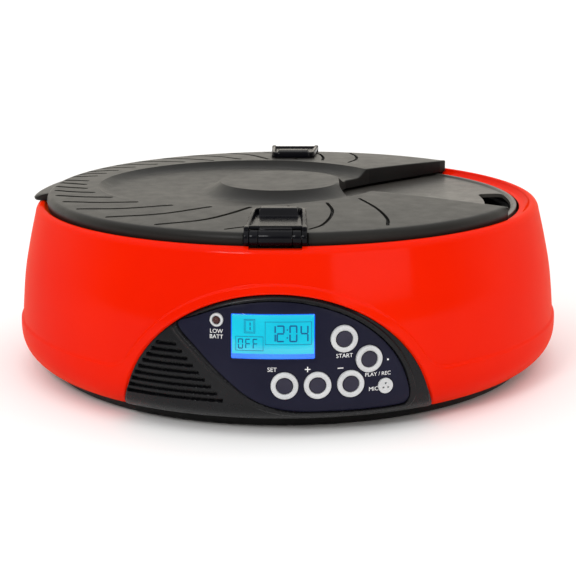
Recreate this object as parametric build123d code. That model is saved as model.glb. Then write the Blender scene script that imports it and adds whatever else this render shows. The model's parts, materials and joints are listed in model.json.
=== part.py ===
from build123d import *
from math import acos, atan2, cos, degrees, pi, radians, sin, sqrt, tan
import os

# Round timed pet feeder. Millimetres. +Z is up, the table is Z = 0 and the middle of the case is X = Y = 0.
# The control panel faces -Y. The tray turns about Z, and the lid's opening is towards +X.

# Case
FLANGE_R = 160.5  # widest radius, at the foot band of the shell
SEAM_Z = 6.0  # joint between the pan and the shell
BAND_TOP_Z = 30.0
SEAM_R = 147.0
WALL = 2.4
RIM_TOP_Z = 97.0
RIM_INNER_R = 142.6
LEDGE_Z = 93.0  # the lid rests here
LEDGE_R = 138.0
WELL_R = 141.2
SKIRT_BOTTOM_Z = 84.0
PAN_BOTTOM_Z = 1.0
PAN_FLOOR = 2.4
PAN_R = 144.2
TONGUE_R = 143.4  # pan's upstand inside the shell

# Arch in the shell for the panel: an ellipse seen along Y
ARCH_HALF_WIDTH = 80.0
ARCH_HEIGHT = 66.5
ARCH_Z = 7.0
BORDER = 4.5
BORDER_RAISE = 1.1
PANEL_GAP = 0.25
PANEL_WALL = 3.4
FASCIA_DEPTH = 1.8

# Keys: name, angle from the front (degrees towards +X), height
KEYS = {
    "set_button": (1.7, 27.5),
    "plus_button": (7.7, 27.5),
    "minus_button": (13.8, 27.5),
    "start_button": (12.8, 50.5),
    "play_record_button": (17.4, 39.5),
}
RING_OUTER_R = 7.0
RING_INNER_R = 4.4
KEY_R = 4.2
KEY_TRAVEL = 0.8
STEM_R = 2.0
LED_PLACE = (-11.0, 60.0)
MIC_PLACE = (20.4, 25.0)
LCD_X = (-22.4, 20.2)
LCD_Z = (41.0, 63.6)
SPEAKER_PLACE = (-19.5, 31.5)
BOARD_Y = -140.0  # front face of the circuit board
BOARD_THICKNESS = 1.6
SWITCH_HEIGHT = 3.4
PLUNGER_HEIGHT = 4.2

# Keypad outline in X and Z, clockwise from the tip at the left
KEYPAD = [(-50, 56.5), (-42, 60.8), (-22, 67.4), (0, 69.8), (20, 67.4), (38, 60.8), (53, 50), (63, 37),
          (68, 23), (67, 15.6), (60, 13.6), (30, 13.2), (6, 14.2), (-12, 20.5), (-27, 32), (-40, 45)]

# Speaker slots
SLOT_COUNT = 9
SLOT_FIRST_Z = 18.2
SLOT_PITCH = 3.4
SLOT_HEIGHT = 1.7
SLOT_LEFT = (-29.2, -23.0)  # end angles of the lowest and the highest slot
SLOT_RIGHT = (-9.6, -18.8)

# Lid
LID_R = 141.5
LID_EDGE_Z = 102.2
LID_DOME_Z = 105.6
LID_WALL = 2.3
LID_BOTTOM_Z = 93.2
LID_WALL_BOTTOM_Z = 94.5
DISH_CENTRE = (-27.0, 5.0)
DISH_SIZE = (95.0, 88.0)
DISH_SLOPE = 12.0
DISH_FLOOR_Z = 100.0
DISH_TOP_Z = 109.8  # where the dish's slope would end if it ran on above the lid
DISC_X = -4.0
DISC_R = 35.0
DISC_SLOPE = 12.0
OPENING = [(50, 48), (35, 30), (31, 9), (31.5, -13), (38, -29), (53, -34), (152, -80), (190, 0), (152, 148)]

# Latch, hinged on the lid's edge; drawn at the front
LATCH_Y = -143.2
LATCH_Z = 100.4
BARREL_R = 3.9
LATCH_HALF = 16.0
EAR = 2.7
KNUCKLE_INNER = 8.6
PIN_R = 1.2
RUNNING_GAP = 0.06
LATCH_PLATE_Z = (104.2, 106.2)
LATCH_TIP_Y = -100.0
LATCH_TIP_HALF = 13.8
LATCH_RECESS_Y = (-141.0, -112.0)
LATCH_LIP_Z = 108.6
LATCH_LIP_HALF = 10.8
LATCH_LIP_LENGTH = 11.0
TONGUE_HALF = 8.0

# Tray
TRAY_R = 136.5
TRAY_TOP_Z = 93.0
TRAY_PLATE = 2.2
LIP_Z = 94.0
SECTORS = 6
BLANK_ANGLE = 7.5  # middle of the closed sector, under the lid's opening
CUP_TURNS = [BLANK_ANGLE + index * 360 / SECTORS for index in range(1, SECTORS)]
CUP_HALF_ANGLE = 23.0
CUP_INNER_R = 38.0
CUP_OUTER_R = 128.0
CUP_BOTTOM_Z = 51.0
CUP_WALL = 2.0
CUP_TAPER = 6.0
CUP_CORNER = 9.0
FINGER_SLOT_R = (118.0, 133.2)
FINGER_SLOT_ANGLES = (-19, 11)
HUB_SOCKET = 12.25  # half the width across the flats

# Works
LINER_FLOOR_Z = 44.0
LINER_FLOOR = 2.2
PRESSURE_ANGLE = radians(20)
BACKLASH = 0.10
PINION_TEETH = 14
WHEEL_TEETH = 56
OUTPUT_TEETH = 70
OUTPUT_MODULE = 0.8
SECOND_MODULE = 0.6
FIRST_MODULE = 0.5
GEAR_PIN_R = 1.5
GEARBOX_X = (-58, 36)
GEARBOX_Y = (-42, 36)
GEARBOX_Z = 13.0
GEARBOX_TOP_Z = 38.0
GEARBOX_WALL = 2.0
GEARBOX_POSTS = ((-53, 31), (31, 31), (31, -37), (-53, -37))
OUTPUT_LEVEL = (30.0, 35.0)
SECOND_LEVEL = (24.0, 28.0)
FIRST_LEVEL = (17.5, 21.0)
SECOND_REACH = (PINION_TEETH + OUTPUT_TEETH) * OUTPUT_MODULE / 2
FIRST_REACH = (PINION_TEETH + WHEEL_TEETH) * SECOND_MODULE / 2
MOTOR_REACH = (PINION_TEETH + WHEEL_TEETH) * FIRST_MODULE / 2
SECOND_PLACE = (-SECOND_REACH, 0.0)
FIRST_PLACE = (-SECOND_REACH, -FIRST_REACH)
MOTOR_PLACE = (-SECOND_REACH + MOTOR_REACH, -FIRST_REACH)
SHAFT_R = 5.0

# Cells
CELL_R = 13.1
CELL_LENGTH = 50.0
CELL_Z = 17.0
CELL_ROWS_Y = (62.8, 91.2)
BAY_X = 54.0
BAY_Y = (48.6, 105.4)
BAY_TOP_Z = 31.4

SCREW_ANGLES = (15, 65, 115, 165, 222, 318)
SCREW_RING_R = 139.5
LINER_POSTS = ((112, 0), (-112, 0), (-66, -90), (66, -90))
FOOT_PLACES = ((92, 92), (-92, 92), (-92, -92), (92, -92))
BOARD_POSTS = ((-18, 27), (54, 21), (-28.6, 46), (30, 64))


def turned(edges):
    """Solid of revolution about Z from a closed outline of (radius, height) edges."""
    return revolve(Plane.XZ * make_face(edges), Axis.Z)


def ring(inner, outer, low, high):
    """Plain ring, or a disc when the inner radius is 0."""
    return turned(Polyline((inner, low), (outer, low), (outer, high), (inner, high), close=True))


def sector(inner, outer, low, high, start, end):
    """Part of a ring between two angles in degrees from +X."""
    outline = Polyline((inner, low), (outer, low), (outer, high), (inner, high), close=True)
    part = revolve(Plane.XZ * make_face(outline), Axis.Z, revolution_arc=end - start)
    first = degrees(atan2(part.center().Y, part.center().X))
    return Rot(0, 0, (start + end) / 2 - first) * part


def block(x, y, z):
    """Box between two limits on each axis."""
    size = (x[1] - x[0], y[1] - y[0], z[1] - z[0])
    middle = ((x[0] + x[1]) / 2, (y[0] + y[1]) / 2, (z[0] + z[1]) / 2)
    return Pos(*middle) * Box(*size)


def rod(x, y, low, high, radius):
    """Upright cylinder."""
    return Pos(x, y, (low + high) / 2) * Cylinder(radius, high - low)


def cross_rod(x_low, x_high, y, z, radius):
    """Cylinder along X."""
    return Pos((x_low + x_high) / 2, y, z) * Rot(0, 90, 0) * Cylinder(radius, x_high - x_low)


def depth_rod(x, z, y_low, y_high, radius):
    """Cylinder along Y."""
    return Pos(x, (y_low + y_high) / 2, z) * Rot(90, 0, 0) * Cylinder(radius, y_high - y_low)


def slice_between(solid, low, high):
    return solid & ring(0, 400, low, high)


def polar(radius, angle):
    return radius * cos(radians(angle)), radius * sin(radians(angle))


def round_slab(x, y, z, corner):
    """Box with rounded upright corners."""
    size = (x[1] - x[0], y[1] - y[0])
    outline = RectangleRounded(*size, corner)
    return Pos((x[0] + x[1]) / 2, (y[0] + y[1]) / 2, z[0]) * extrude(outline, z[1] - z[0])


# ---- case ----


def wall_puck(grow):
    """Everything inside the shell's outer wall, with the wall moved out by grow."""
    foot = Spline((SEAM_R - 0.8 + grow, SEAM_Z), (153.6 + grow, 10.4), (159.4 + grow, 22),
                  tangents=[(1, 0.35), (0, 1)])
    side = Spline(foot @ 1, (159.3 + grow, 32), (157 + grow, 56), (153.4 + grow, 75), (149.5 + grow, 91.5),
                  tangents=[(0, 1), (-0.24, 1)])
    rim = Spline(side @ 1, (147.6 + grow, 95.4), (144.6, RIM_TOP_Z + grow), (RIM_INNER_R, 96.5 + grow))
    closing = Polyline(rim @ 1, (0, 96.5 + grow), (0, SEAM_Z), foot @ 0)
    return turned([foot, side, rim, closing])


def band_puck():
    foot = Spline((SEAM_R, SEAM_Z), (154.4, 10.2), (FLANGE_R, 22), tangents=[(1, 0.35), (0, 1)])
    closing = Polyline(foot @ 1, (FLANGE_R, BAND_TOP_Z - 0.8), (FLANGE_R - 0.8, BAND_TOP_Z), (0, BAND_TOP_Z),
                       (0, SEAM_Z), foot @ 0)
    return turned([foot, closing])


def arch(grow):
    """Upright elliptical cylinder that cuts the front of the case."""
    outline = Plane.XZ * Pos(0, ARCH_Z) * Ellipse(ARCH_HALF_WIDTH + grow, ARCH_HEIGHT + grow)
    return extrude(outline, 200) & block((-200, 200), (-200, -100), (SEAM_Z, 120))


def latch_relief(grow):
    """Room round the latch's barrel and its tongue, at the front."""
    barrel = cross_rod(-LATCH_HALF - 0.6, LATCH_HALF + 0.6, LATCH_Y, LATCH_Z, BARREL_R + grow)
    tongue = block((-9, 9), (-146.2, -136), (89, LATCH_Z))
    return barrel + tongue


def both_latches(shape):
    return [shape, Rot(0, 0, 180) * shape]


def outer_shell():
    raised = band_puck() + (wall_puck(BORDER_RAISE) & arch(BORDER))
    raised = slice_between(raised, SEAM_Z, 90)
    shell = wall_puck(0) + raised
    hollow = wall_puck(-WALL) & ring(0, 200, SEAM_Z - 1, 94.4)
    inner_wall = ring(WELL_R, 143.4, LEDGE_Z - 2.2, 95)
    ledge = ring(LEDGE_R, 143.4, LEDGE_Z - 2.2, LEDGE_Z)
    skirt = ring(LEDGE_R, LEDGE_R + 2.2, SKIRT_BOTTOM_Z, LEDGE_Z - 1)
    shell = shell - hollow + inner_wall + ledge + skirt
    for angle in SCREW_ANGLES:
        x, y = polar(SCREW_RING_R, angle)
        shell += rod(x, y, 12.2, SKIRT_BOTTOM_Z + 3, 4.3)
    profile = Polyline((0, SKIRT_BOTTOM_Z), (LEDGE_R, SKIRT_BOTTOM_Z), (LEDGE_R, LEDGE_Z), (WELL_R, LEDGE_Z),
                       (RIM_INNER_R - 0.4, 95.8), (RIM_INNER_R, 99), (0, 99), close=True)
    well = turned(profile)
    shell -= well
    for angle in SCREW_ANGLES:
        x, y = polar(SCREW_RING_R, angle)
        shell -= rod(x, y, 12, 34, 1.5)
    notch = block((-13.6, 13.6), (-152, -139), (94.9, 110))
    for cut in both_latches(notch + latch_relief(0.5)):
        shell -= cut
    return shell - arch(0)


def base_pan():
    outer = [(0, PAN_BOTTOM_Z), (PAN_R - 0.8, PAN_BOTTOM_Z), (PAN_R, PAN_BOTTOM_Z + 0.8),
             (SEAM_R, SEAM_Z - 0.4), (SEAM_R, SEAM_Z - 0.15), (TONGUE_R, SEAM_Z - 0.15), (TONGUE_R, 10),
             (TONGUE_R - 2.2, 10), (TONGUE_R - 2.2, PAN_BOTTOM_Z + PAN_FLOOR), (0, PAN_BOTTOM_Z + PAN_FLOOR)]
    pan = turned(Polyline(*outer, close=True))
    floor_z = PAN_BOTTOM_Z + PAN_FLOOR
    for angle in SCREW_ANGLES:
        x, y = polar(SCREW_RING_R, angle)
        pan += rod(x, y, PAN_BOTTOM_Z, 12, 4.3) & ring(0, TONGUE_R, 0, 20)
    for x, y in LINER_POSTS:
        pan += rod(x, y, floor_z - 1, LINER_FLOOR_Z, 4)
    for x, y in FOOT_PLACES:
        pan += rod(x, y, PAN_BOTTOM_Z, floor_z + 1.2, 9.6)
    for x, y in GEARBOX_POSTS:
        pan += rod(x, y, floor_z - 1, GEARBOX_Z, 3.4)
    bay = block((-BAY_X - 2, BAY_X + 2), (BAY_Y[0] - 2, BAY_Y[1] + 2), (floor_z - 1, BAY_TOP_Z + 2))
    bay -= block((-BAY_X, BAY_X), BAY_Y, (0, BAY_TOP_Z))
    pan += bay
    pan += block((-BAY_X - 4, BAY_X + 4), (BAY_Y[1] + 1, BAY_Y[1] + 14), (floor_z - 1, floor_z + 1.4))
    # door recess with side grooves, room for the door to slide back, and the way in for the cells
    door_y = (BAY_Y[0] - 1, BAY_Y[1] + 12)
    pan -= block((-BAY_X - 0.8, BAY_X + 0.8), door_y, (0, PAN_BOTTOM_Z + 1.9))
    pan -= block((-BAY_X - 2.8, BAY_X + 2.8), door_y, (PAN_BOTTOM_Z + 0.9, PAN_BOTTOM_Z + 1.9))
    pan -= block((-BAY_X, BAY_X), BAY_Y, (0, 10))
    for angle in SCREW_ANGLES:
        x, y = polar(SCREW_RING_R, angle)
        pan -= rod(x, y, 0, 6.2, 3.4)
        pan -= rod(x, y, 5, 13, 1.7)
    for x, y in LINER_POSTS:
        pan -= rod(x, y, 30, 50, 1.25)
    for x, y in GEARBOX_POSTS:
        pan -= rod(x, y, 5, 20, 1.0)
    for x, y in FOOT_PLACES:
        pan -= rod(x, y, 0, PAN_BOTTOM_Z + 1.6, 8.05)
    return pan


def rubber_feet():
    feet = [rod(x, y, 0, PAN_BOTTOM_Z + 1.6, 8.0) for x, y in FOOT_PLACES]
    return [chamfer(foot.edges().group_by(Axis.Z)[0], 0.5) for foot in feet]


def screw(x, y, head_z, down, head_r, head_height, shank_r, shank_length):
    """Pan-head screw along Z; down is -1 when the shank points to -Z."""
    far = head_z + down * head_height
    head = rod(x, y, min(head_z, far), max(head_z, far), head_r)
    tip = far + down * shank_length
    shank = rod(x, y, min(far, tip), max(far, tip), shank_r)
    slot_low = min(head_z, head_z + down * 0.8)
    drive = rod(x, y, slot_low, slot_low + 0.8, 1.0)
    return head + shank - drive


def case_screws():
    return [screw(*polar(SCREW_RING_R, angle), 3.4, 1, 3.0, 2.6, 1.45, 20) for angle in SCREW_ANGLES]


def liner_screws():
    top = LINER_FLOOR_Z + LINER_FLOOR + 2.0
    return [screw(x, y, top, -1, 2.8, 2.0, 1.2, 13) for x, y in LINER_POSTS]


def well_liner():
    floor_top = LINER_FLOOR_Z + LINER_FLOOR
    outline = Polyline((12.5, LINER_FLOOR_Z), (131.5, LINER_FLOOR_Z), (134.7, SKIRT_BOTTOM_Z + 0.2),
                       (137.7, SKIRT_BOTTOM_Z + 0.2), (137.7, 86.4), (132.6, 86.4), (129.6, floor_top),
                       (12.5, floor_top), close=True)
    liner = turned(outline)
    for x, y in LINER_POSTS:
        liner -= rod(x, y, LINER_FLOOR_Z - 1, floor_top + 1, 1.4)
    return liner


# ---- front panel ----


def panel_puck(grow):
    """Everything inside the panel's front face, with the face moved out by grow."""
    foot = Spline((147.6 + grow, SEAM_Z + 0.2), (155 + grow, 9.2), (FLANGE_R + grow, 18),
                  tangents=[(1, 0.3), (0, 1)])
    flat = Line(foot @ 1, (FLANGE_R + grow, 21))
    face = Spline(flat @ 1, (159.5 + grow, 32), (157.9 + grow, 46), (155.7 + grow, 60), (153 + grow, 74.5),
                  tangents=[(0, 1), (-0.2, 1)])
    closing = Polyline(face @ 1, (0, 74.5), (0, SEAM_Z + 0.2), foot @ 0)
    return turned([foot, flat, face, closing])


def panel_radius(height):
    """Radius of the panel's front face at a height in the keypad."""
    return 160.5 - 0.0021 * max(height - 19, 0) ** 2 - 0.014 * max(height - 19, 0)


def teardrop(grow):
    """Keypad outline, cut straight through along Y. Its points run clockwise from the left tip."""
    points = []
    for index, (x, z) in enumerate(KEYPAD):
        before = KEYPAD[index - 1]
        after = KEYPAD[(index + 1) % len(KEYPAD)]
        run = (after[0] - before[0], after[1] - before[1])
        length = sqrt(run[0] ** 2 + run[1] ** 2)
        points.append((x - grow * run[1] / length, z + grow * run[0] / length))
    face = make_face(Spline(*points, periodic=True))
    return extrude(Plane.XZ * face, 200) & block((-100, 100), (-200, -120), (0, 100))


def facing_out(angle, height, radius):
    """Plane at a place on the panel whose normal points straight out from the case."""
    outward = (sin(radians(angle)), -cos(radians(angle)), 0)
    sideways = (cos(radians(angle)), sin(radians(angle)), 0)
    origin = (radius * outward[0], radius * outward[1], height)
    return Plane(origin=origin, x_dir=sideways, z_dir=outward)


def outward_rod(angle, height, near, far, radius):
    """Cylinder along the outward direction between two distances from the Z axis."""
    middle = facing_out(angle, height, (near + far) / 2)
    return middle * Cylinder(radius, far - near)


def speaker_slots():
    slots = []
    for index in range(SLOT_COUNT):
        low = SLOT_FIRST_Z + index * SLOT_PITCH
        share = index / (SLOT_COUNT - 1)
        left = SLOT_LEFT[0] + (SLOT_LEFT[1] - SLOT_LEFT[0]) * share ** 1.3
        right = SLOT_RIGHT[0] + (SLOT_RIGHT[1] - SLOT_RIGHT[0]) * share
        slots.append(sector(145, 170, low, low + SLOT_HEIGHT, left - 90, right - 90))
    return slots


def control_panel():
    panel = (panel_puck(0) - panel_puck(-PANEL_WALL)) & arch(-PANEL_GAP)
    collar = (panel_puck(1.0) - panel_puck(-1)) & (teardrop(3.0) - teardrop(0.1)) & arch(-1.2)
    collar = collar & ring(0, FLANGE_R, SEAM_Z, 80)
    panel += collar
    pocket = (panel_puck(5) - panel_puck(-FASCIA_DEPTH)) & teardrop(0.1)
    panel -= pocket
    web = panel_puck(-FASCIA_DEPTH - 0.4)
    for x, z in BOARD_POSTS:
        panel += depth_rod(x, z, -159, BOARD_Y - 0.1, 3) & web
    for angle, height in KEYS.values():
        panel -= outward_rod(angle, height, 140, 170, 4.6)
        panel -= outward_rod(angle, height, 140, panel_radius(height) - PANEL_WALL, 6.2)
    for slot in speaker_slots():
        panel -= slot
    panel -= block((LCD_X[0] + 1.2, LCD_X[1] - 1.2), (-170, -140), (LCD_Z[0] + 1.2, LCD_Z[1] - 1.2))
    panel -= outward_rod(*LED_PLACE, 140, 170, 2.1)
    panel -= outward_rod(*MIC_PLACE, 140, 170, 2.6)
    for x, z in BOARD_POSTS:
        panel -= depth_rod(x, z, -150, BOARD_Y + 1, 1.25)
    return panel


def keypad_fascia():
    fascia = (panel_puck(-0.2) - panel_puck(-FASCIA_DEPTH + 0.05)) & teardrop(-0.05)
    fascia -= block(LCD_X, (-170, -140), LCD_Z)
    for angle, height in KEYS.values():
        fascia -= outward_rod(angle, height, 140, 170, RING_OUTER_R + 0.05)
    fascia -= outward_rod(*LED_PLACE, 140, 170, 3.55)
    fascia -= outward_rod(*MIC_PLACE, 140, 170, 4.05)
    return fascia


def lcd_window():
    frame = block((LCD_X[0] + 0.05, LCD_X[1] - 0.05), (-170, -140), (LCD_Z[0] + 0.05, LCD_Z[1] - 0.05))
    return (panel_puck(-0.25) - panel_puck(-FASCIA_DEPTH + 0.05)) & frame


def lcd_module():
    return block((-24.4, 22.4), (-149, -147.4), (38, 66))


def lcd_backlight():
    return block((-25, 23), (-147.4, -144.4), (39, 66))


def button_rings():
    rings = []
    for angle, height in KEYS.values():
        face = panel_radius(height)
        outer = outward_rod(angle, height, face - FASCIA_DEPTH + 0.3, face + 0.7, RING_OUTER_R)
        rim = outer.edges().filter_by(GeomType.CIRCLE).sort_by(lambda edge: edge.center().Y)[0]
        outer = fillet(rim, 0.5)
        rings.append(outer - outward_rod(angle, height, 140, 170, RING_INNER_R))
    return rings


def key(angle, height):
    """Key cap with a stop behind the panel and a stem that just reaches its switch when pressed."""
    face = panel_radius(height)
    plunger_y = -BOARD_Y + PLUNGER_HEIGHT
    stem_end = (plunger_y + STEM_R * sin(radians(angle)) + 0.1) / cos(radians(angle)) + KEY_TRAVEL
    cap = outward_rod(angle, height, face - PANEL_WALL - 1.6, face + 0.4, KEY_R)
    crown = cap.edges().filter_by(GeomType.CIRCLE).sort_by(lambda edge: edge.center().Y)[0]
    cap = fillet(crown, 0.6)
    stop = outward_rod(angle, height, face - PANEL_WALL - 1.6, face - PANEL_WALL - 0.5, 5.2)
    stem = outward_rod(angle, height, stem_end, face - PANEL_WALL - 1, STEM_R)
    return cap + stop + stem


def tact_switches():
    switches = []
    for angle, height in KEYS.values():
        x = (-BOARD_Y + 5) * tan(radians(angle))
        body = block((x - 3, x + 3), (BOARD_Y - SWITCH_HEIGHT, BOARD_Y), (height - 3, height + 3))
        switches.append(body + depth_rod(x, height, BOARD_Y - PLUNGER_HEIGHT, BOARD_Y - 3, 1.6))
    return switches


def main_pcb():
    back_y = BOARD_Y + BOARD_THICKNESS
    wide = block((-32, 58), (BOARD_Y, back_y), (17, 44))
    tall = block((-32, 40), (BOARD_Y, back_y), (17, 68))
    board = wide + tall
    for x, z in BOARD_POSTS:
        board -= depth_rod(x, z, BOARD_Y - 1, BOARD_Y + 3, 1.4)
    chip = block((0, 14), (back_y, back_y + 1.6), (28, 42))
    relay = block((24, 38), (back_y, back_y + 3), (24, 34))
    return board + chip + relay


def pcb_screws():
    screws = []
    for x, z in BOARD_POSTS:
        head = depth_rod(x, z, BOARD_Y + BOARD_THICKNESS, BOARD_Y + 3.2, 2.4)
        shank = depth_rod(x, z, BOARD_Y - 7, BOARD_Y + BOARD_THICKNESS, 1.2)
        drive = depth_rod(x, z, BOARD_Y + 2.5, BOARD_Y + 4, 0.9)
        screws.append(head + shank - drive)
    return screws


def low_battery_led():
    angle, height = LED_PLACE
    face = panel_radius(height)
    dome = facing_out(angle, height, face - 0.6) * Sphere(1.9)
    return dome + outward_rod(angle, height, (-BOARD_Y + 0.4) / cos(radians(angle)), face - 0.6, 1.9)


def led_ring():
    angle, height = LED_PLACE
    face = panel_radius(height)
    outer = outward_rod(angle, height, face - FASCIA_DEPTH + 0.3, face + 0.5, 3.5)
    return outer - outward_rod(angle, height, 140, 170, 2.1)


def mic_grille():
    angle, height = MIC_PLACE
    face = panel_radius(height)
    disc = outward_rod(angle, height, face - FASCIA_DEPTH + 0.3, face + 0.4, 4.0)
    place = facing_out(angle, height, face)
    for turn in (90, 210, 330):
        x, y = polar(1.5, turn)
        disc -= place * Pos(x, y, 0) * Cylinder(0.55, 8)
    return disc


def microphone():
    angle, height = MIC_PLACE
    face = panel_radius(height)
    return outward_rod(angle, height, face - PANEL_WALL - 4.2, face - PANEL_WALL + 1.2, 2.5)


def speaker():
    body = outward_rod(*SPEAKER_PLACE, 147.5, 151.8, 18) + outward_rod(*SPEAKER_PLACE, 143, 148, 14)
    magnet = outward_rod(*SPEAKER_PLACE, 138, 144, 8.5)
    cone = outward_rod(*SPEAKER_PLACE, 150.2, 153, 15.5)
    return body + magnet - cone


# ---- drive ----

def tooth_wheel(teeth, module, place, level, phase):
    """Spur gear with involute flanks; phase is the angle of one tooth's middle in radians."""
    pitch_r = teeth * module / 2
    base_r = pitch_r * cos(PRESSURE_ANGLE)
    tip_r = pitch_r + 0.85 * module
    root_r = pitch_r - 1.1 * module
    half = pi / (2 * teeth) - BACKLASH / (4 * pitch_r)

    def half_width(radius):
        roll = acos(min(1.0, base_r / radius))
        return half + tan(PRESSURE_ANGLE) - PRESSURE_ANGLE - tan(roll) + roll

    start_r = max(base_r, root_r)
    steps = [start_r + (tip_r - start_r) * share / 4 for share in range(5)]
    flank = [(radius, half_width(radius)) for radius in steps]
    if root_r < base_r:
        flank = [(root_r, half_width(base_r))] + flank
    points = []
    for tooth in range(teeth):
        middle = phase + tooth * 2 * pi / teeth
        for radius, width in flank:
            points.append((radius * cos(middle - width), radius * sin(middle - width)))
        for radius, width in reversed(flank):
            points.append((radius * cos(middle + width), radius * sin(middle + width)))
    outline = make_face(Polyline(*points, close=True))
    return Pos(place[0], place[1], level[0]) * extrude(outline, level[1] - level[0])


def mesh_phase(place_a, phase_a, teeth_a, place_b, teeth_b):
    """Phase for gear b so that its teeth fall in the gaps of gear a."""
    heading = atan2(place_b[1] - place_a[1], place_b[0] - place_a[0])
    turn = (heading - phase_a) * teeth_a / (2 * pi)
    return heading + pi - (0.5 - turn) * 2 * pi / teeth_b


def output_gear():
    gear = tooth_wheel(OUTPUT_TEETH, OUTPUT_MODULE, (0, 0), OUTPUT_LEVEL, 0)
    gear += rod(0, 0, GEARBOX_Z + 2.6, LINER_FLOOR_Z + 3, SHAFT_R)
    for index in range(SECTORS):
        x, y = polar(23, BLANK_ANGLE + index * 360 / SECTORS)
        gear += rod(x, y, OUTPUT_LEVEL[0] - 1.4, OUTPUT_LEVEL[0] + 0.5, 1.4)
    return gear


def second_gear():
    phase = mesh_phase((0, 0), 0, OUTPUT_TEETH, SECOND_PLACE, PINION_TEETH)
    small = tooth_wheel(PINION_TEETH, OUTPUT_MODULE, SECOND_PLACE, (27.9, OUTPUT_LEVEL[1] + 0.5), phase)
    large = tooth_wheel(WHEEL_TEETH, SECOND_MODULE, SECOND_PLACE, SECOND_LEVEL, 0)
    return small + large - rod(*SECOND_PLACE, 0, 60, GEAR_PIN_R + RUNNING_GAP)


def first_gear():
    phase = mesh_phase(SECOND_PLACE, 0, WHEEL_TEETH, FIRST_PLACE, PINION_TEETH)
    small = tooth_wheel(PINION_TEETH, SECOND_MODULE, FIRST_PLACE, (20.9, SECOND_LEVEL[1] + 0.4), phase)
    large = tooth_wheel(WHEEL_TEETH, FIRST_MODULE, FIRST_PLACE, FIRST_LEVEL, 0)
    return small + large - rod(*FIRST_PLACE, 0, 60, GEAR_PIN_R + RUNNING_GAP)


def motor_pinion():
    phase = mesh_phase(FIRST_PLACE, 0, WHEEL_TEETH, MOTOR_PLACE, PINION_TEETH)
    pinion = tooth_wheel(PINION_TEETH, FIRST_MODULE, MOTOR_PLACE, (17.2, 21.6), phase)
    return pinion + rod(*MOTOR_PLACE, 13.5, 21.6, 1.0)


def gear_motor():
    can = rod(*MOTOR_PLACE, 4.0, 12.9, 12)
    can = chamfer(can.edges().group_by(Axis.Z)[0], 1)
    nose = rod(*MOTOR_PLACE, 12, 14.6, 3)
    return can + nose - rod(*MOTOR_PLACE, 10, 15, 1.05)


def gearbox_base():
    box = round_slab(GEARBOX_X, GEARBOX_Y, (GEARBOX_Z, GEARBOX_TOP_Z), 8)
    inner_x = (GEARBOX_X[0] + GEARBOX_WALL, GEARBOX_X[1] - GEARBOX_WALL)
    inner_y = (GEARBOX_Y[0] + GEARBOX_WALL, GEARBOX_Y[1] - GEARBOX_WALL)
    box -= round_slab(inner_x, inner_y, (GEARBOX_Z + 2.2, GEARBOX_TOP_Z + 1), 6)
    for x, y in GEARBOX_POSTS:
        box += rod(x, y, GEARBOX_Z, GEARBOX_TOP_Z, 3.6)
    for x, y in (SECOND_PLACE, FIRST_PLACE):
        box += rod(x, y, GEARBOX_Z, GEARBOX_Z + 4, 3)
    for x, y in GEARBOX_POSTS:
        box -= rod(x, y, 0, 50, 1.25)
    for x, y in (SECOND_PLACE, FIRST_PLACE):
        box -= rod(x, y, GEARBOX_Z + 1, 30, GEAR_PIN_R)
    box -= rod(*MOTOR_PLACE, 0, 20, 3.05)
    return box - rod(0, 0, GEARBOX_Z + 0.8, 20, SHAFT_R + RUNNING_GAP)


def gearbox_cover():
    cover = round_slab(GEARBOX_X, GEARBOX_Y, (GEARBOX_TOP_Z, GEARBOX_TOP_Z + 2.2), 8)
    cover += rod(0, 0, GEARBOX_TOP_Z, LINER_FLOOR_Z - 0.2, 8)
    for x, y in (SECOND_PLACE, FIRST_PLACE):
        cover += rod(x, y, GEARBOX_TOP_Z - 2, GEARBOX_TOP_Z + 1, 3)
        cover -= rod(x, y, 20, GEARBOX_TOP_Z + 1.4, GEAR_PIN_R)
    for x, y in GEARBOX_POSTS:
        cover -= rod(x, y, 30, 50, 1.4)
    return cover - rod(0, 0, 30, 50, SHAFT_R + RUNNING_GAP)


def gear_pins():
    return [rod(x, y, GEARBOX_Z + 1, GEARBOX_TOP_Z + 1.4, GEAR_PIN_R) for x, y in (SECOND_PLACE, FIRST_PLACE)]


def gearbox_screws():
    top = GEARBOX_TOP_Z + 4.0
    return [screw(x, y, top, -1, 2.5, 1.8, 0.95, 33) for x, y in GEARBOX_POSTS]


def position_switch():
    body = block((12, 25), (-22, -16), (16.2, 26.5))
    lever = block((12.5, 23), (-20, -18), (26.5, 27.0)) + block((21, 23), (-20, -18), (26.5, 28.2))
    return body + lever


def drive_hub():
    hexagon = extrude(RegularPolygon(12, 6, major_radius=False), 18)
    hub = Pos(0, 0, 48.0) * hexagon + rod(0, 0, 47.2, 49.2, 15)
    return hub - rod(0, 0, 40, LINER_FLOOR_Z + 3, SHAFT_R)


def thrust_washer():
    top = LINER_FLOOR_Z + 3
    lower = ring(6.2, 11.5, LINER_FLOOR_Z - 0.2, LINER_FLOOR_Z + 1)
    sleeve = ring(10.6, 12.3, LINER_FLOOR_Z, top)
    flange = ring(11.4, 15, top - 0.8, top)
    return lower + sleeve + flange


# ---- power ----


def battery_cells():
    cells = []
    for y in CELL_ROWS_Y:
        for side in (-1, 1):
            x = side * CELL_LENGTH / 2
            can = cross_rod(x - 24.2, x + 23.4, y, CELL_Z, CELL_R)
            cells.append(can + cross_rod(x + 23, x + 24.8, y, CELL_Z, 3))
    return cells


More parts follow.
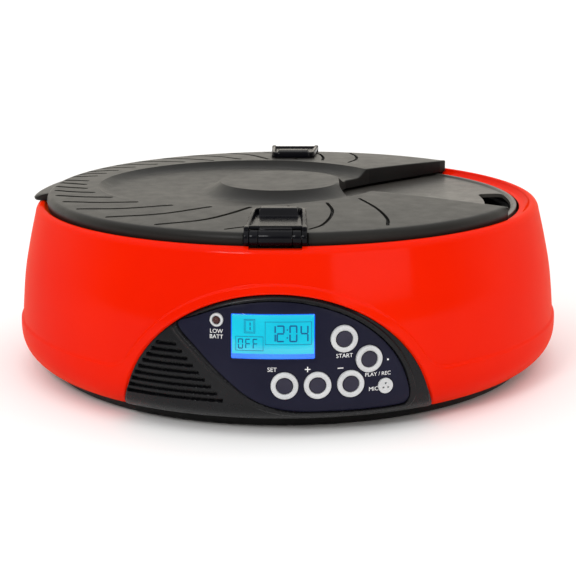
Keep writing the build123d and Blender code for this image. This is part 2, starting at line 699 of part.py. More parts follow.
def battery_contacts():
    contacts = []
    for y in CELL_ROWS_Y:
        plate = block((BAY_X - 1.2, BAY_X - 0.4), (y - 8, y + 8), (8, 26))
        contacts.append(plate + cross_rod(50.1, BAY_X - 1, y, CELL_Z, 3.2))
        wide = block((-BAY_X + 0.4, -BAY_X + 1.2), (y - 8, y + 8), (8, 26))
        turns = cross_rod(-BAY_X + 1, -50, y, CELL_Z, 5) - cross_rod(-BAY_X + 1, -49, y, CELL_Z, 3.8)
        contacts.append(wide + turns)
    return contacts


def battery_door():
    y = (BAY_Y[0] - 0.6, BAY_Y[1] + 0.6)
    door = block((-BAY_X - 0.5, BAY_X + 0.5), y, (PAN_BOTTOM_Z + 0.1, PAN_BOTTOM_Z + 1.8))
    door += block((-BAY_X - 2.5, BAY_X + 2.5), y, (PAN_BOTTOM_Z + 1.1, PAN_BOTTOM_Z + 1.8))
    for index in range(4):
        y = 54 + index * 3
        door -= block((-12, 12), (y, y + 1.2), (0, PAN_BOTTOM_Z + 0.7))
    return door


# ---- tray ----


def wedge_face(inner, outer, half_angle, corner):
    """Plan of one meal compartment, pointing along +X."""
    a = polar(inner, -half_angle)
    b = polar(outer, -half_angle)
    c = polar(outer, half_angle)
    d = polar(inner, half_angle)
    far = ThreePointArc(b, (outer, 0), c)
    near = ThreePointArc(d, (inner, 0), a)
    face = make_face([Line(a, b), far, Line(c, d), near])
    return fillet(face.vertices(), corner)


def cup(wall):
    """Meal compartment, or the space in it when wall is the wall's thickness."""
    face = wedge_face(CUP_INNER_R, CUP_OUTER_R, CUP_HALF_ANGLE, CUP_CORNER)
    top = TRAY_TOP_Z
    if wall:
        face = offset(face, -wall)
        top += 2
    return Pos(0, 0, top) * extrude(face, CUP_BOTTOM_Z + wall - top, taper=CUP_TAPER)


def food_tray():
    low = TRAY_TOP_Z - TRAY_PLATE
    plate = turned(Polyline((0, low), (TRAY_R, low), (TRAY_R, LIP_Z - 0.3), (TRAY_R - 0.3, LIP_Z),
                            (TRAY_R - 2, LIP_Z), (TRAY_R - 3, TRAY_TOP_Z), (0, TRAY_TOP_Z), close=True))
    socket = rod(0, 0, 49.6, TRAY_TOP_Z - 1, 17)
    socket -= Pos(0, 0, 49) * extrude(RegularPolygon(HUB_SOCKET, 6, major_radius=False), 17.5)
    tray = plate + socket
    space = cup(CUP_WALL)
    for turn in CUP_TURNS:
        tray -= Rot(0, 0, turn) * space
    slot = sector(*FINGER_SLOT_R, 85, 100, *FINGER_SLOT_ANGLES)
    slot = fillet(slot.edges().filter_by(Axis.Z), 4.5)
    return tray - slot


def meal_cups():
    """The five compartments, from the tray's plate down."""
    one = slice_between(cup(0) - cup(CUP_WALL), CUP_BOTTOM_Z - 1, TRAY_TOP_Z - TRAY_PLATE)
    return [Rot(0, 0, turn) * one for turn in CUP_TURNS]


def tray_knob():
    return turned(Polyline((0, TRAY_TOP_Z), (17, TRAY_TOP_Z), (16.4, TRAY_TOP_Z + 1.6), (9, TRAY_TOP_Z + 2.6),
                           (9, TRAY_TOP_Z + 3.2), (0, TRAY_TOP_Z + 3.6), close=True))


# ---- lid and latches ----


def ellipse_frustum(centre, size, slope, low, high):
    """Shallow dish cutter: an ellipse at the top and a smaller one on the floor."""
    top = Pos(centre[0], centre[1], high) * Ellipse(size[0], size[1])
    floor = Pos(centre[0], centre[1], low) * Ellipse(size[0] - slope, size[1] - slope)
    return loft([floor, top], ruled=True)


def lid_puck(sink, inset):
    """The lid's outer form, lowered by sink and with its side moved in by inset."""
    side_r = LID_R - inset
    edge_z = LID_EDGE_Z - sink
    shoulder = Spline((side_r, 98 - sink), (side_r - 0.8, 101 - sink), (side_r - 3.1, edge_z),
                      tangents=[(0, 1), (-1, 0.25)])
    dome = Spline(shoulder @ 1, (105, edge_z + 1.7), (60, edge_z + 2.9), (0, LID_DOME_Z - sink),
                  tangents=[(-1, 0.1), (-1, 0)])
    closing = Polyline(dome @ 1, (0, LID_BOTTOM_Z), (side_r - 0.8, LID_BOTTOM_Z), shoulder @ 0)
    puck = turned([shoulder, dome, closing])
    low = DISH_FLOOR_Z - sink
    high = DISH_TOP_Z - sink
    dish = ellipse_frustum(DISH_CENTRE, DISH_SIZE, DISH_SLOPE, low, high)
    disc = turned(Polyline((0, low - 1), (DISC_R + DISC_SLOPE, low - 1), (DISC_R + DISC_SLOPE, low),
                           (DISC_R, low + 5), (DISC_R - 6, high + 2), (0, high + 2), close=True))
    return puck - (dish - Pos(DISC_X, 0, 0) * disc)


def lift_tab():
    tab = sector(138, 150.6, 97.6, 100.2, 152, 187)
    corner = tab.edges().filter_by(Axis.Z).sort_by(lambda edge: edge.center().Y)[-1]
    return fillet(corner, 4)


def opening_face(grow):
    face = make_face(Polyline(*OPENING, close=True))
    return offset(face, grow) if grow else face


def knuckles():
    """The lid's own hinge knuckles at one latch, with a foot that ties each to the lid's edge."""
    parts = []
    for side in (-1, 1):
        x = sorted((side * (KNUCKLE_INNER + 0.2), side * (LATCH_HALF - EAR - 0.2)))
        part = cross_rod(x[0], x[1], LATCH_Y, LATCH_Z, BARREL_R - 0.1)
        part += block(x, (LATCH_Y, -137), (LATCH_Z - 3, LATCH_Z + 1.2))
        parts.append(part)
    return parts


def lid():
    hollow = lid_puck(LID_WALL, LID_WALL) + ring(0, LID_R - 2.9, LID_BOTTOM_Z - 1, LID_BOTTOM_Z + 1)
    body = lid_puck(0, 0) - hollow
    walls = extrude(opening_face(2.2) - opening_face(0), 20)
    walls = (Pos(0, 0, LID_WALL_BOTTOM_Z) * walls) & lid_puck(0, 0.6)
    body += walls
    body += lift_tab()
    for cut in both_latches(latch_relief(0.4)):
        body -= cut
    for part in knuckles():
        for copy in both_latches(part):
            body += copy
    body -= Pos(0, 0, 80) * extrude(opening_face(0), 40)
    bore = cross_rod(-LATCH_HALF, LATCH_HALF, LATCH_Y, LATCH_Z, PIN_R)
    for cut in both_latches(bore):
        body -= cut
    return body


def latch_pins():
    pin = cross_rod(-LATCH_HALF + 0.2, LATCH_HALF - 0.2, LATCH_Y, LATCH_Z, PIN_R)
    return both_latches(pin)


def latch():
    """Snap latch: two ears, a middle barrel, a framed plate with a finger lip, and a tongue."""
    plate_high = LATCH_PLATE_Z[1]
    plan = Polyline((-LATCH_HALF, LATCH_Y), (LATCH_HALF, LATCH_Y), (LATCH_TIP_HALF, LATCH_TIP_Y),
                    (-LATCH_TIP_HALF, LATCH_TIP_Y), close=True)
    plate = Pos(0, 0, LATCH_PLATE_Z[0]) * extrude(make_face(plan), plate_high - LATCH_PLATE_Z[0])
    corners = plate.edges().filter_by(Axis.Z).sort_by(Axis.Y)[-2:]
    plate = fillet(corners, 4)
    plate -= block((-12, 12), LATCH_RECESS_Y, (plate_high - 1, 110))
    lip_y = (LATCH_TIP_Y - LATCH_LIP_LENGTH, LATCH_TIP_Y)
    lip = block((-LATCH_LIP_HALF, LATCH_LIP_HALF), lip_y, (plate_high - 0.5, LATCH_LIP_Z))
    lip = chamfer(lip.edges().group_by(Axis.Z)[-1], 1.6)
    lever = plate + lip
    for side in (-1, 1):
        x = sorted((side * (LATCH_HALF - EAR), side * LATCH_HALF))
        lever += cross_rod(x[0], x[1], LATCH_Y, LATCH_Z, BARREL_R)
        lever += block(x, (LATCH_Y, LATCH_Y + BARREL_R), (LATCH_Z, plate_high))
    lever += cross_rod(-KNUCKLE_INNER, KNUCKLE_INNER, LATCH_Y, LATCH_Z, BARREL_R)
    lever += block((-KNUCKLE_INNER, KNUCKLE_INNER), (LATCH_Y, LATCH_Y + BARREL_R), (LATCH_Z, plate_high))
    lever += block((-TONGUE_HALF, TONGUE_HALF), (-144.4, -142.4), (93.4, LATCH_Z - 2))
    # clear the lid's knuckles
    for side in (-1, 1):
        x = sorted((side * KNUCKLE_INNER, side * (LATCH_HALF - EAR)))
        lever -= cross_rod(x[0], x[1], LATCH_Y, LATCH_Z, BARREL_R + 0.4)
    return lever - cross_rod(-LATCH_HALF - 1, LATCH_HALF + 1, LATCH_Y, LATCH_Z, PIN_R + RUNNING_GAP)


def latch_front():
    return latch()


def latch_back():
    return Rot(0, 0, 180) * latch()


SINGLE = [
    base_pan, outer_shell, well_liner, control_panel, keypad_fascia, lcd_window, lcd_module,
    lcd_backlight, main_pcb, low_battery_led, led_ring, mic_grille, microphone, speaker, gear_motor,
    motor_pinion, first_gear, second_gear, output_gear, gearbox_base, gearbox_cover, position_switch,
    drive_hub, thrust_washer, battery_door, food_tray, tray_knob, lid, latch_front, latch_back,
]
GROUPS = [
    rubber_feet, case_screws, liner_screws, button_rings, tact_switches, pcb_screws, gear_pins,
    gearbox_screws, battery_cells, battery_contacts, meal_cups, latch_pins,
]


def write(name, shape):
    solids = shape.solids()
    export_step(solids[0] if len(solids) == 1 else Compound(children=solids), f"parts/{name}.step")


def main():
    os.makedirs("parts", exist_ok=True)
    for make in SINGLE:
        write(make.__name__, make())
    for make in GROUPS:
        write(make.__name__, Compound(children=[part.solids()[0] for part in make()]))
    for name, (angle, height) in KEYS.items():
        write(name, key(angle, height))


main()
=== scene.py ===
import json
import math

import bmesh
import bpy
import numpy as np
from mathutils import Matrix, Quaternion, Vector
from mathutils.geometry import delaunay_2d_cdt

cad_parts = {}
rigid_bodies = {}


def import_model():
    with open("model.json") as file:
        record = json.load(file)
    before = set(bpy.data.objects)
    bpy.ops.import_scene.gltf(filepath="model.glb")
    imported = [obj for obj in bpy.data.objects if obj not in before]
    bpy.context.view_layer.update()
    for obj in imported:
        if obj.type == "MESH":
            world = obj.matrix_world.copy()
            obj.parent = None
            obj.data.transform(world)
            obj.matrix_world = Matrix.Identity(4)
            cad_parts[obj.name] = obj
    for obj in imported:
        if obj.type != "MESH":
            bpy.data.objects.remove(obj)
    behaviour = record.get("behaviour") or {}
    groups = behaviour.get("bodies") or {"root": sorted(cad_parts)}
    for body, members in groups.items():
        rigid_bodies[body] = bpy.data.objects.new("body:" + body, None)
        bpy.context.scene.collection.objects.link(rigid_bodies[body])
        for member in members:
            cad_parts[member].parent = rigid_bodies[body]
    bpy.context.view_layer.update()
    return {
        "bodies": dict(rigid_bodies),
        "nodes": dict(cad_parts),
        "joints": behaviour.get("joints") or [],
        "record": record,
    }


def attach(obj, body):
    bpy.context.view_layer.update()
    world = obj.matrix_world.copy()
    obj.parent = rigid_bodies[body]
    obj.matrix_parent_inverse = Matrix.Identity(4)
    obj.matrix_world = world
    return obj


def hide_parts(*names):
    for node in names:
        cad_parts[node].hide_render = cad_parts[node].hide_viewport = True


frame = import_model()
MM = 0.001

# Shell, in millimetres. "Angle" is measured from the front (-Y) towards +X.
SEAM_Z = 6.0
BAND_TOP_Z = 30.0
BAND_RAISE = 1.1
BORDER = 4.6
ARCH = (80.0, 66.5, 7.0)  # half width, height, height of its centre line
SHELL_WALL = 2.4
WALL_POINTS = [(146.2, 6), (150.4, 7.8), (154.2, 10.9), (157.6, 15.6), (159.4, 22), (159.3, 32), (157, 56),
               (153.4, 75), (149.5, 91.5)]
RIM_POINTS = [(149.5, 91.5), (149.0, 93.4), (147.9, 95.1), (146.4, 96.0), (145.1, 96.2), (144.0, 95.8),
              (143.5, 94.8)]
WELL_POINTS = [(141.3, 93.15), (141.05, 93.0), (138.3, 93.0), (138.0, 92.7), (138.0, 84.0), (140.2, 84.0),
               (140.2, 90.4), (143.4, 90.8), (143.6, 94.2), (146.4, 94.4), (147.1, 91.5)]

# Panel
PANEL_POINTS = [(147.6, 6.2), (151.6, 7.4), (155.2, 9.2), (158.8, 12.9), (160.45, 18), (160.45, 21),
                (159.5, 32), (157.9, 46), (155.7, 60), (153, 74.5)]
KEYPAD = [(-50, 56.5), (-42, 60.8), (-22, 67.4), (0, 69.8), (20, 67.4), (38, 60.8), (53, 50), (63, 37),
          (68, 23), (67, 15.6), (60, 13.6), (30, 13.2), (6, 14.2), (-12, 20.5), (-27, 32), (-40, 45)]
KEYS = {
    "set": (1.7, 27.5),
    "plus": (7.7, 27.5),
    "minus": (13.8, 27.5),
    "start": (12.8, 50.5),
    "play_record": (17.4, 39.5),
}
RING = (7.0, 4.4)
LED_PLACE = (-11.0, 60.0)
MIC_PLACE = (20.4, 25.0)
LCD_X = (-22.4, 20.2)
LCD_Z = (41.0, 63.6)
SLOTS = (9, 18.2, 3.4, 1.7)  # count, first height, pitch, slot height

# Lid
LID_R = 142.6
DISH = ((-27.0, 4.0), (86.5, 82.5))
DISH_SLOPE = 7.5
DISH_FLOOR = 100.2
DISC = ((-4.0, 0.0), 36.0)
DISC_SLOPE = 11.5
DISC_TOP = 105.5
OPENING = [(53, -34), (38, -29), (31.5, -13), (31, 9), (35, 30), (50, 48)]
FRONT_EDGE = (99, -46)  # direction of the opening's front edge, outwards
BACK_EDGE = (102, 100)
LID_BOTTOM_Z = 93.2
LID_WALL_BOTTOM_Z = 94.9
LID_WALL = 2.3
GROOVE_DEPTH = 1.5
GROOVE_HALVES = (1.45, 0.95)  # grooves left of the middle, grooves right of it
GROOVE_WALL = 0.3
# Centre lines of the swept grooves, from the lid's edge inwards
GROOVES = [
    [(-138, -4), (-128.5, -10), (-119, -15)],
    [(-136, -18), (-124, -25.5), (-112, -30)],
    [(-132, -35), (-116, -42.5), (-99, -47)],
    [(-124, -55), (-103, -61), (-82, -63)],
    [(-112, -77), (-87, -79.5), (-61, -74)],
    [(-92, -100), (-64, -95.5), (-39, -80)],
    [(-63, -120), (-41, -112), (-28, -99), (-17, -82)],
    [(-26, -132), (-10, -122), (0, -102), (4, -79)],
    [(17, -132), (23, -123), (27, -106), (28, -88), (25, -70)],
    [(57, -121), (57, -106), (52, -82), (43, -57)],
    [(-138, 9), (-130, 4), (-122, -1)],
    [(-138, 19), (-130.5, 16), (-123, 12)],
    [(-137, 31), (-129, 31.5), (-121, 31)],
    [(-134, 41), (-125.5, 41.8), (-117, 41)],
    [(-131, 51), (-121, 52.4), (-111, 52)],
    [(-126, 64), (-114, 65.6), (-102, 65)],
    [(-119, 77), (-104, 78), (-89, 76)],
    [(-107, 93), (-90, 91), (-72, 84)],
    [(-92, 108), (-72, 101), (-53, 89)],
    [(-74, 121), (-53, 112), (-35, 94)],
    [(-48, 132), (-31, 119), (-16, 92)],
    [(-22, 137), (-8, 119), (3, 92)],
    [(10, 137), (17, 123), (20, 103), (20, 86)],
    [(38, 131), (42, 112), (42, 93), (37, 76)],
]

# Latch
LATCH_Y = -143.2
LATCH_Z = 100.4
BARREL_R = 3.9


# ---- node materials ----


def new_material(name):
    material = bpy.data.materials.new(name)
    material.use_nodes = True
    tree = material.node_tree
    shader = next(node for node in tree.nodes if node.type == "BSDF_PRINCIPLED")
    place = tree.nodes.new("ShaderNodeTexCoord")
    return material, tree, shader, place.outputs["Object"]


def noise(tree, where, scale, detail=3.0, rough=0.55):
    node = tree.nodes.new("ShaderNodeTexNoise")
    node.inputs["Scale"].default_value = scale
    node.inputs["Detail"].default_value = detail
    node.inputs["Roughness"].default_value = rough
    tree.links.new(where, node.inputs["Vector"])
    return node.outputs["Fac"]


def ramp(tree, value, stops):
    node = tree.nodes.new("ShaderNodeValToRGB")
    while len(node.color_ramp.elements) < len(stops):
        node.color_ramp.elements.new(0.5)
    for element, (place, colour) in zip(node.color_ramp.elements, stops):
        element.position = place
        element.color = (*colour, 1)
    tree.links.new(value, node.inputs["Fac"])
    return node.outputs["Color"]


def spread(tree, value, low, high, start=0.3, end=0.7):
    node = tree.nodes.new("ShaderNodeMapRange")
    for name, number in (("From Min", start), ("From Max", end), ("To Min", low), ("To Max", high)):
        node.inputs[name].default_value = number
    tree.links.new(value, node.inputs["Value"])
    return node.outputs["Result"]


def bump(tree, shader, height, strength, distance):
    node = tree.nodes.new("ShaderNodeBump")
    node.inputs["Strength"].default_value = strength
    node.inputs["Distance"].default_value = distance
    tree.links.new(height, node.inputs["Height"])
    tree.links.new(node.outputs["Normal"], shader.inputs["Normal"])


def plastic(name, dark, light, roughness, patch=9, grain=1500, grain_height=0.00004, specular=0.3, coat=None):
    """Moulded plastic: colour drift, uneven gloss, a fine grain, and maybe a coat of (weight, roughness)."""
    material, tree, shader, where = new_material(name)
    drift = noise(tree, where, patch, 4)
    tree.links.new(ramp(tree, drift, [(0.3, dark), (0.7, light)]), shader.inputs["Base Color"])
    handling = noise(tree, where, patch * 9, 5, 0.65)
    tree.links.new(spread(tree, handling, roughness[0], roughness[1]), shader.inputs["Roughness"])
    bump(tree, shader, noise(tree, where, grain, 2), 0.35, grain_height)
    shader.inputs["Specular IOR Level"].default_value = specular
    if coat:
        shader.inputs["Coat Weight"].default_value = coat[0]
        shader.inputs["Coat Roughness"].default_value = coat[1]
    return material


def metal(name, dark, light, roughness, patch=60):
    material, tree, shader, where = new_material(name)
    drift = noise(tree, where, patch, 4)
    tree.links.new(ramp(tree, drift, [(0.25, dark), (0.75, light)]), shader.inputs["Base Color"])
    tree.links.new(spread(tree, noise(tree, where, patch * 12, 4), *roughness), shader.inputs["Roughness"])
    bump(tree, shader, noise(tree, where, 2600, 2), 0.3, 0.00002)
    shader.inputs["Metallic"].default_value = 1.0
    return material


def glowing(name, low, high, strength, patch):
    """Back-lit plastic: an even glow with a faint drift from the light pipe."""
    material, tree, shader, where = new_material(name)
    colour = ramp(tree, noise(tree, where, patch, 2), [(0.3, low), (0.7, high)])
    tree.links.new(colour, shader.inputs["Base Color"])
    tree.links.new(colour, shader.inputs["Emission Color"])
    tree.links.new(spread(tree, noise(tree, where, 400, 3), 0.06, 0.12), shader.inputs["Roughness"])
    shader.inputs["Emission Strength"].default_value = strength
    shader.inputs["Coat Weight"].default_value = 0.6
    return material


# Moulded plastics: dark and light colour, roughness range, then the further settings of plastic()
PLASTICS = {
    "shell_orange": ((0.72, 0.0085, 0.0), (0.79, 0.013, 0.0),
                     (0.10, 0.20), 7, 260, 0.00003, 0.0, (0.13, 0.12)),
    "lid_charcoal": ((0.009, 0.0085, 0.0075), (0.013, 0.0125, 0.011),
                     (0.38, 0.46), 12, 2200, 0.00006, 0.16),
    "tray_plastic": ((0.040, 0.037, 0.033), (0.056, 0.052, 0.046),
                     (0.34, 0.44), 14, 1800, 0.00004, 0.35),
    "latch_gloss": ((0.002, 0.002, 0.003), (0.005, 0.005, 0.007),
                    (0.2, 0.3), 40, 700, 0.00002, 0.02, (0.16, 0.10)),
    "black_matte": ((0.004, 0.004, 0.004), (0.008, 0.008, 0.008), (0.42, 0.55), 18, 1600, 0.00006, 0.1),
    "panel_black": ((0.004, 0.004, 0.005), (0.008, 0.008, 0.009), (0.24, 0.34), 24, 1700, 0.00004, 0.2),
    "navy": ((0.006, 0.006, 0.018), (0.010, 0.010, 0.025), (0.30, 0.40), 26, 2000, 0.00003, 0.12),
    "key_plastic": ((0.016, 0.014, 0.030), (0.026, 0.024, 0.044), (0.34, 0.45), 60, 1800, 0.00004, 0.25),
    "silver_trim": ((0.50, 0.51, 0.52), (0.62, 0.63, 0.64), (0.28, 0.38), 70, 2400, 0.00003),
    # painted shade for the grooves' floors
    "groove_painted_shade": ((0.004, 0.004, 0.004), (0.009, 0.009, 0.009), (0.7, 0.8), 60, 900, 0.00005, 0.1),
    "white_print": ((0.72, 0.72, 0.72), (0.85, 0.85, 0.85), (0.4, 0.5), 90),
    "rubber": ((0.014, 0.014, 0.014), (0.024, 0.024, 0.024), (0.70, 0.85), 60, 900, 0.0001),
    "white_plastic": ((0.70, 0.69, 0.64), (0.80, 0.79, 0.75), (0.35, 0.5), 30),
    "grey_plastic": ((0.13, 0.14, 0.15), (0.19, 0.20, 0.21), (0.4, 0.55), 25),
    "circuit_board": ((0.012, 0.10, 0.035), (0.02, 0.16, 0.06), (0.25, 0.4), 120),
    "cell_jacket": ((0.03, 0.03, 0.035), (0.10, 0.09, 0.07), (0.25, 0.35), 20),
    "led_lens": ((0.03, 0.01, 0.01), (0.06, 0.015, 0.012), (0.1, 0.2), 80),
    "lcd_ink": ((0.0, 0.07, 0.20), (0.0, 0.10, 0.26), (0.3, 0.4), 60),
}


def make_materials():
    made = {name: plastic(name, *settings) for name, settings in PLASTICS.items()}
    shell = made["shell_orange"].node_tree.nodes["Principled BSDF"]
    shell.inputs["Sheen Weight"].default_value = 0.12
    shell.inputs["Sheen Roughness"].default_value = 0.3
    shell.inputs["Sheen Tint"].default_value = (1.0, 0.36, 0.02, 1)
    made["steel"] = metal("steel", (0.42, 0.42, 0.43), (0.60, 0.60, 0.61), (0.25, 0.42))
    made["brass"] = metal("brass", (0.50, 0.34, 0.12), (0.68, 0.50, 0.22), (0.2, 0.35))
    made["lcd_glow"] = glowing("lcd_glow", (0.0, 0.34, 0.48), (0.004, 0.43, 0.55), 0.45, 26)
    made["lcd_edge"] = glowing("lcd_edge", (0.0, 0.10, 0.75), (0.0, 0.16, 0.90), 0.5, 40)
    made["lcd_cell"] = made["lcd_edge"]
    made["lcd_glass"] = made["lcd_edge"]
    return made


MATERIALS = make_materials()


# ---- mesh tools ----


def build(name, verts, faces, body, slot, replaces=(), material=None, sharp=35, mend=True):
    """Makes a piece from millimetre points, parents it to the body it rides on and hides the CAD nodes it
    stands for.
    """
    mesh = bpy.data.meshes.new(name)
    mesh.from_pydata([tuple(float(c) * MM for c in v) for v in verts], [], [tuple(f) for f in faces])
    if mend:
        bm = bmesh.new()
        bm.from_mesh(mesh)
        bmesh.ops.remove_doubles(bm, verts=bm.verts, dist=1e-6)
        bmesh.ops.recalc_face_normals(bm, faces=bm.faces)
        bm.to_mesh(mesh)
        bm.free()
    obj = bpy.data.objects.new(name, mesh)
    bpy.context.scene.collection.objects.link(obj)
    mesh.materials.append(material or MATERIALS[slot])
    mesh.shade_smooth()
    mesh.set_sharp_from_angle(angle=math.radians(sharp))
    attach(obj, body)
    if replaces:
        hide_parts(*replaces)
    return obj


def modified(obj):
    """Applies the modifiers on a piece."""
    graph = bpy.context.evaluated_depsgraph_get()
    mesh = bpy.data.meshes.new_from_object(obj.evaluated_get(graph))
    obj.modifiers.clear()
    obj.data = mesh
    return obj


def carve(obj, cutters, sharp=35):
    """Takes closed cutter solids out of a piece."""
    for cutter in cutters:
        change = obj.modifiers.new("cut", "BOOLEAN")
        change.operation = "DIFFERENCE"
        change.solver = "EXACT"
        change.object = cutter
    bpy.context.view_layer.update()
    modified(obj)
    obj.data.shade_smooth()
    obj.data.set_sharp_from_angle(angle=math.radians(sharp))
    for cutter in cutters:
        bpy.data.objects.remove(cutter)
    return obj


def cutter(verts, faces):
    mesh = bpy.data.meshes.new("cutter")
    mesh.from_pydata([tuple(float(c) * MM for c in v) for v in verts], [], [tuple(f) for f in faces])
    bm = bmesh.new()
    bm.from_mesh(mesh)
    bmesh.ops.recalc_face_normals(bm, faces=bm.faces)
    bm.to_mesh(mesh)
    bm.free()
    obj = bpy.data.objects.new("cutter", mesh)
    bpy.context.scene.collection.objects.link(obj)
    return obj


def grid_faces(rows, cols, wrap_rows=False, wrap_cols=False):
    """Quads over points stored row by row."""
    faces = []
    for r in range(rows if wrap_rows else rows - 1):
        for c in range(cols if wrap_cols else cols - 1):
            r2, c2 = (r + 1) % rows, (c + 1) % cols
            faces.append((r * cols + c, r * cols + c2, r2 * cols + c2, r2 * cols + c))
    return faces


def smooth_curve(points, steps=10, closed=False):
    """Catmull-Rom curve through points."""
    p = np.array(points, float)
    count = len(p)
    if closed:
        ext = np.vstack([p[-1], p, p[0], p[1]])
        spans = count
    else:
        ext = np.vstack([2 * p[0] - p[1], p, 2 * p[-1] - p[-2]])
        spans = count - 1
    out = []
    for i in range(spans):
        a, b, c, d = ext[i:i + 4]
        for t in np.arange(steps) / steps:
            out.append(0.5 * ((2 * b) + (c - a) * t + (2 * a - 5 * b + 4 * c - d) * t ** 2
                              + (3 * b - a - 3 * c + d) * t ** 3))
    if not closed:
        out.append(p[-1])
    return np.array(out)


def step(value, low, high):
    t = np.clip((value - low) / (high - low), 0, 1)
    return t * t * (3 - 2 * t)


def signed_distance(x, y, loop):
    """Distance from points to a closed loop, negative inside it."""
    x, y = np.asarray(x, float), np.asarray(y, float)
    a = np.array(loop)
    b = np.roll(a, -1, axis=0)
    best = np.full(x.shape, 1e9)
    inside = np.zeros(x.shape, bool)
    for (ax, ay), (bx, by) in zip(a, b):
        dx, dy = bx - ax, by - ay
        t = np.clip(((x - ax) * dx + (y - ay) * dy) / max(dx * dx + dy * dy, 1e-12), 0, 1)
        best = np.minimum(best, np.hypot(x - ax - t * dx, y - ay - t * dy))
        cross = (ay > y) != (by > y)
        with np.errstate(divide="ignore", invalid="ignore"):
            at = (bx - ax) * (y - ay) / (by - ay) + ax
        inside ^= cross & (x < at)
    return np.where(inside, -best, best)


def lathe(profile, segments=48, closed=True):
    """Points and faces of a turned form about Z; the profile is (radius, height) points."""
    verts = []
    for radius, height in profile:
        for k in range(segments):
            a = 2 * math.pi * k / segments
            verts.append((radius * math.cos(a), radius * math.sin(a), height))
    return verts, grid_faces(len(profile), segments, closed, True)


def aimed(points, angle, height, radius):
    """Moves points drawn about Z so that Z points straight out of the panel at a place on it."""
    a = math.radians(angle)
    side = np.array([math.cos(a), math.sin(a), 0])
    up = np.array([0, 0, 1.0])
    out = np.array([math.sin(a), -math.cos(a), 0])
    centre = out * radius + np.array([0, 0, height])
    p = np.array(points, float)
    return centre + p[:, :1] * side + p[:, 1:2] * up + p[:, 2:3] * out


def merge(*parts):
    """Joins (verts, faces) lists into one."""
    verts, faces = [], []
    for more, these in parts:
        start = len(verts)
        verts.extend(more)
        faces.extend(tuple(i + start for i in face) for face in these)
    return verts, faces


def round_box(x, y, z, bevel, segments=3):
    """Box with rounded edges, as (verts, faces)."""
    bm = bmesh.new()
    bmesh.ops.create_cube(bm, size=1)
    for v in bm.verts:
        v.co = Vector((x[0] + (v.co.x + 0.5) * (x[1] - x[0]), y[0] + (v.co.y + 0.5) * (y[1] - y[0]),
                       z[0] + (v.co.z + 0.5) * (z[1] - z[0])))
    if bevel:
        bmesh.ops.bevel(bm, geom=list(bm.edges), offset=bevel, segments=segments, profile=0.5, affect="EDGES")
    verts = [tuple(v.co) for v in bm.verts]
    index = {v: i for i, v in enumerate(bm.verts)}
    faces = [tuple(index[v] for v in f.verts) for f in bm.faces]
    bm.free()
    return verts, faces


def cross_rod(x, y, z, radius, bevel=0.5, segments=40):
    """Rod along X with rounded ends, as (verts, faces)."""
    low, high = sorted(x)
    small = bevel * 0.3
    profile = [(0.01, low), (radius - bevel, low), (radius - small, low + small), (radius, low + bevel),
               (radius, high - bevel), (radius - small, high - small), (radius - bevel, high), (0.01, high)]
    verts, faces = lathe(profile, segments)
    return [(h, y + a, z + b) for a, b, h in verts], faces


def wall_radius(z):
    curve = smooth_curve(WALL_POINTS)
    return np.interp(z, curve[:, 1], curve[:, 0])


def panel_radius(z):
    curve = smooth_curve(PANEL_POINTS)
    return np.interp(z, curve[:, 1], curve[:, 0])


# ---- shell ----


def arch_columns(shrink, count):
    """Angles of the columns across the arch, and the arch's height at each."""
    t = np.linspace(0, math.pi, count)
    x = -(ARCH[0] - shrink) * np.cos(t)
    z = ARCH[2] + (ARCH[1] - shrink) * np.sin(t)
    return np.arcsin(x / (wall_radius(z) + 0.9)), z


def arch_distance(x, z):
    """Rough distance outside the arch's ellipse, negative inside."""
    u, w = x / ARCH[0], (z - ARCH[2]) / ARCH[1]
    f = np.sqrt(u * u + w * w) + 1e-9
    slope = np.sqrt((u / ARCH[0]) ** 2 + (w / ARCH[1]) ** 2) / f + 1e-9
    return (f - 1) / slope


def raised(angle, z):
    """How far the band and the panel's border stand out of the shell's wall."""
    x = wall_radius(z) * np.sin(angle)
    front = np.abs(angle) < math.radians(75)
    border = np.where(front, arch_distance(x, z) - BORDER, 50.0)
    band = z - BAND_TOP_Z
    blend = 9.0
    h = np.clip(0.5 + 0.5 * (band - border) / blend, 0, 1)
    both = band * (1 - h) + border * h - blend * h * (1 - h)
    edge = np.where(front, np.clip(arch_distance(x, z), 0, 1.3), 1.3)
    lip = 1.3 - np.sqrt(np.maximum(1.3 ** 2 - (1.3 - edge) ** 2, 0))
    return BAND_RAISE * (1 - step(both, -0.4, 0.9)) - 0.9 * lip


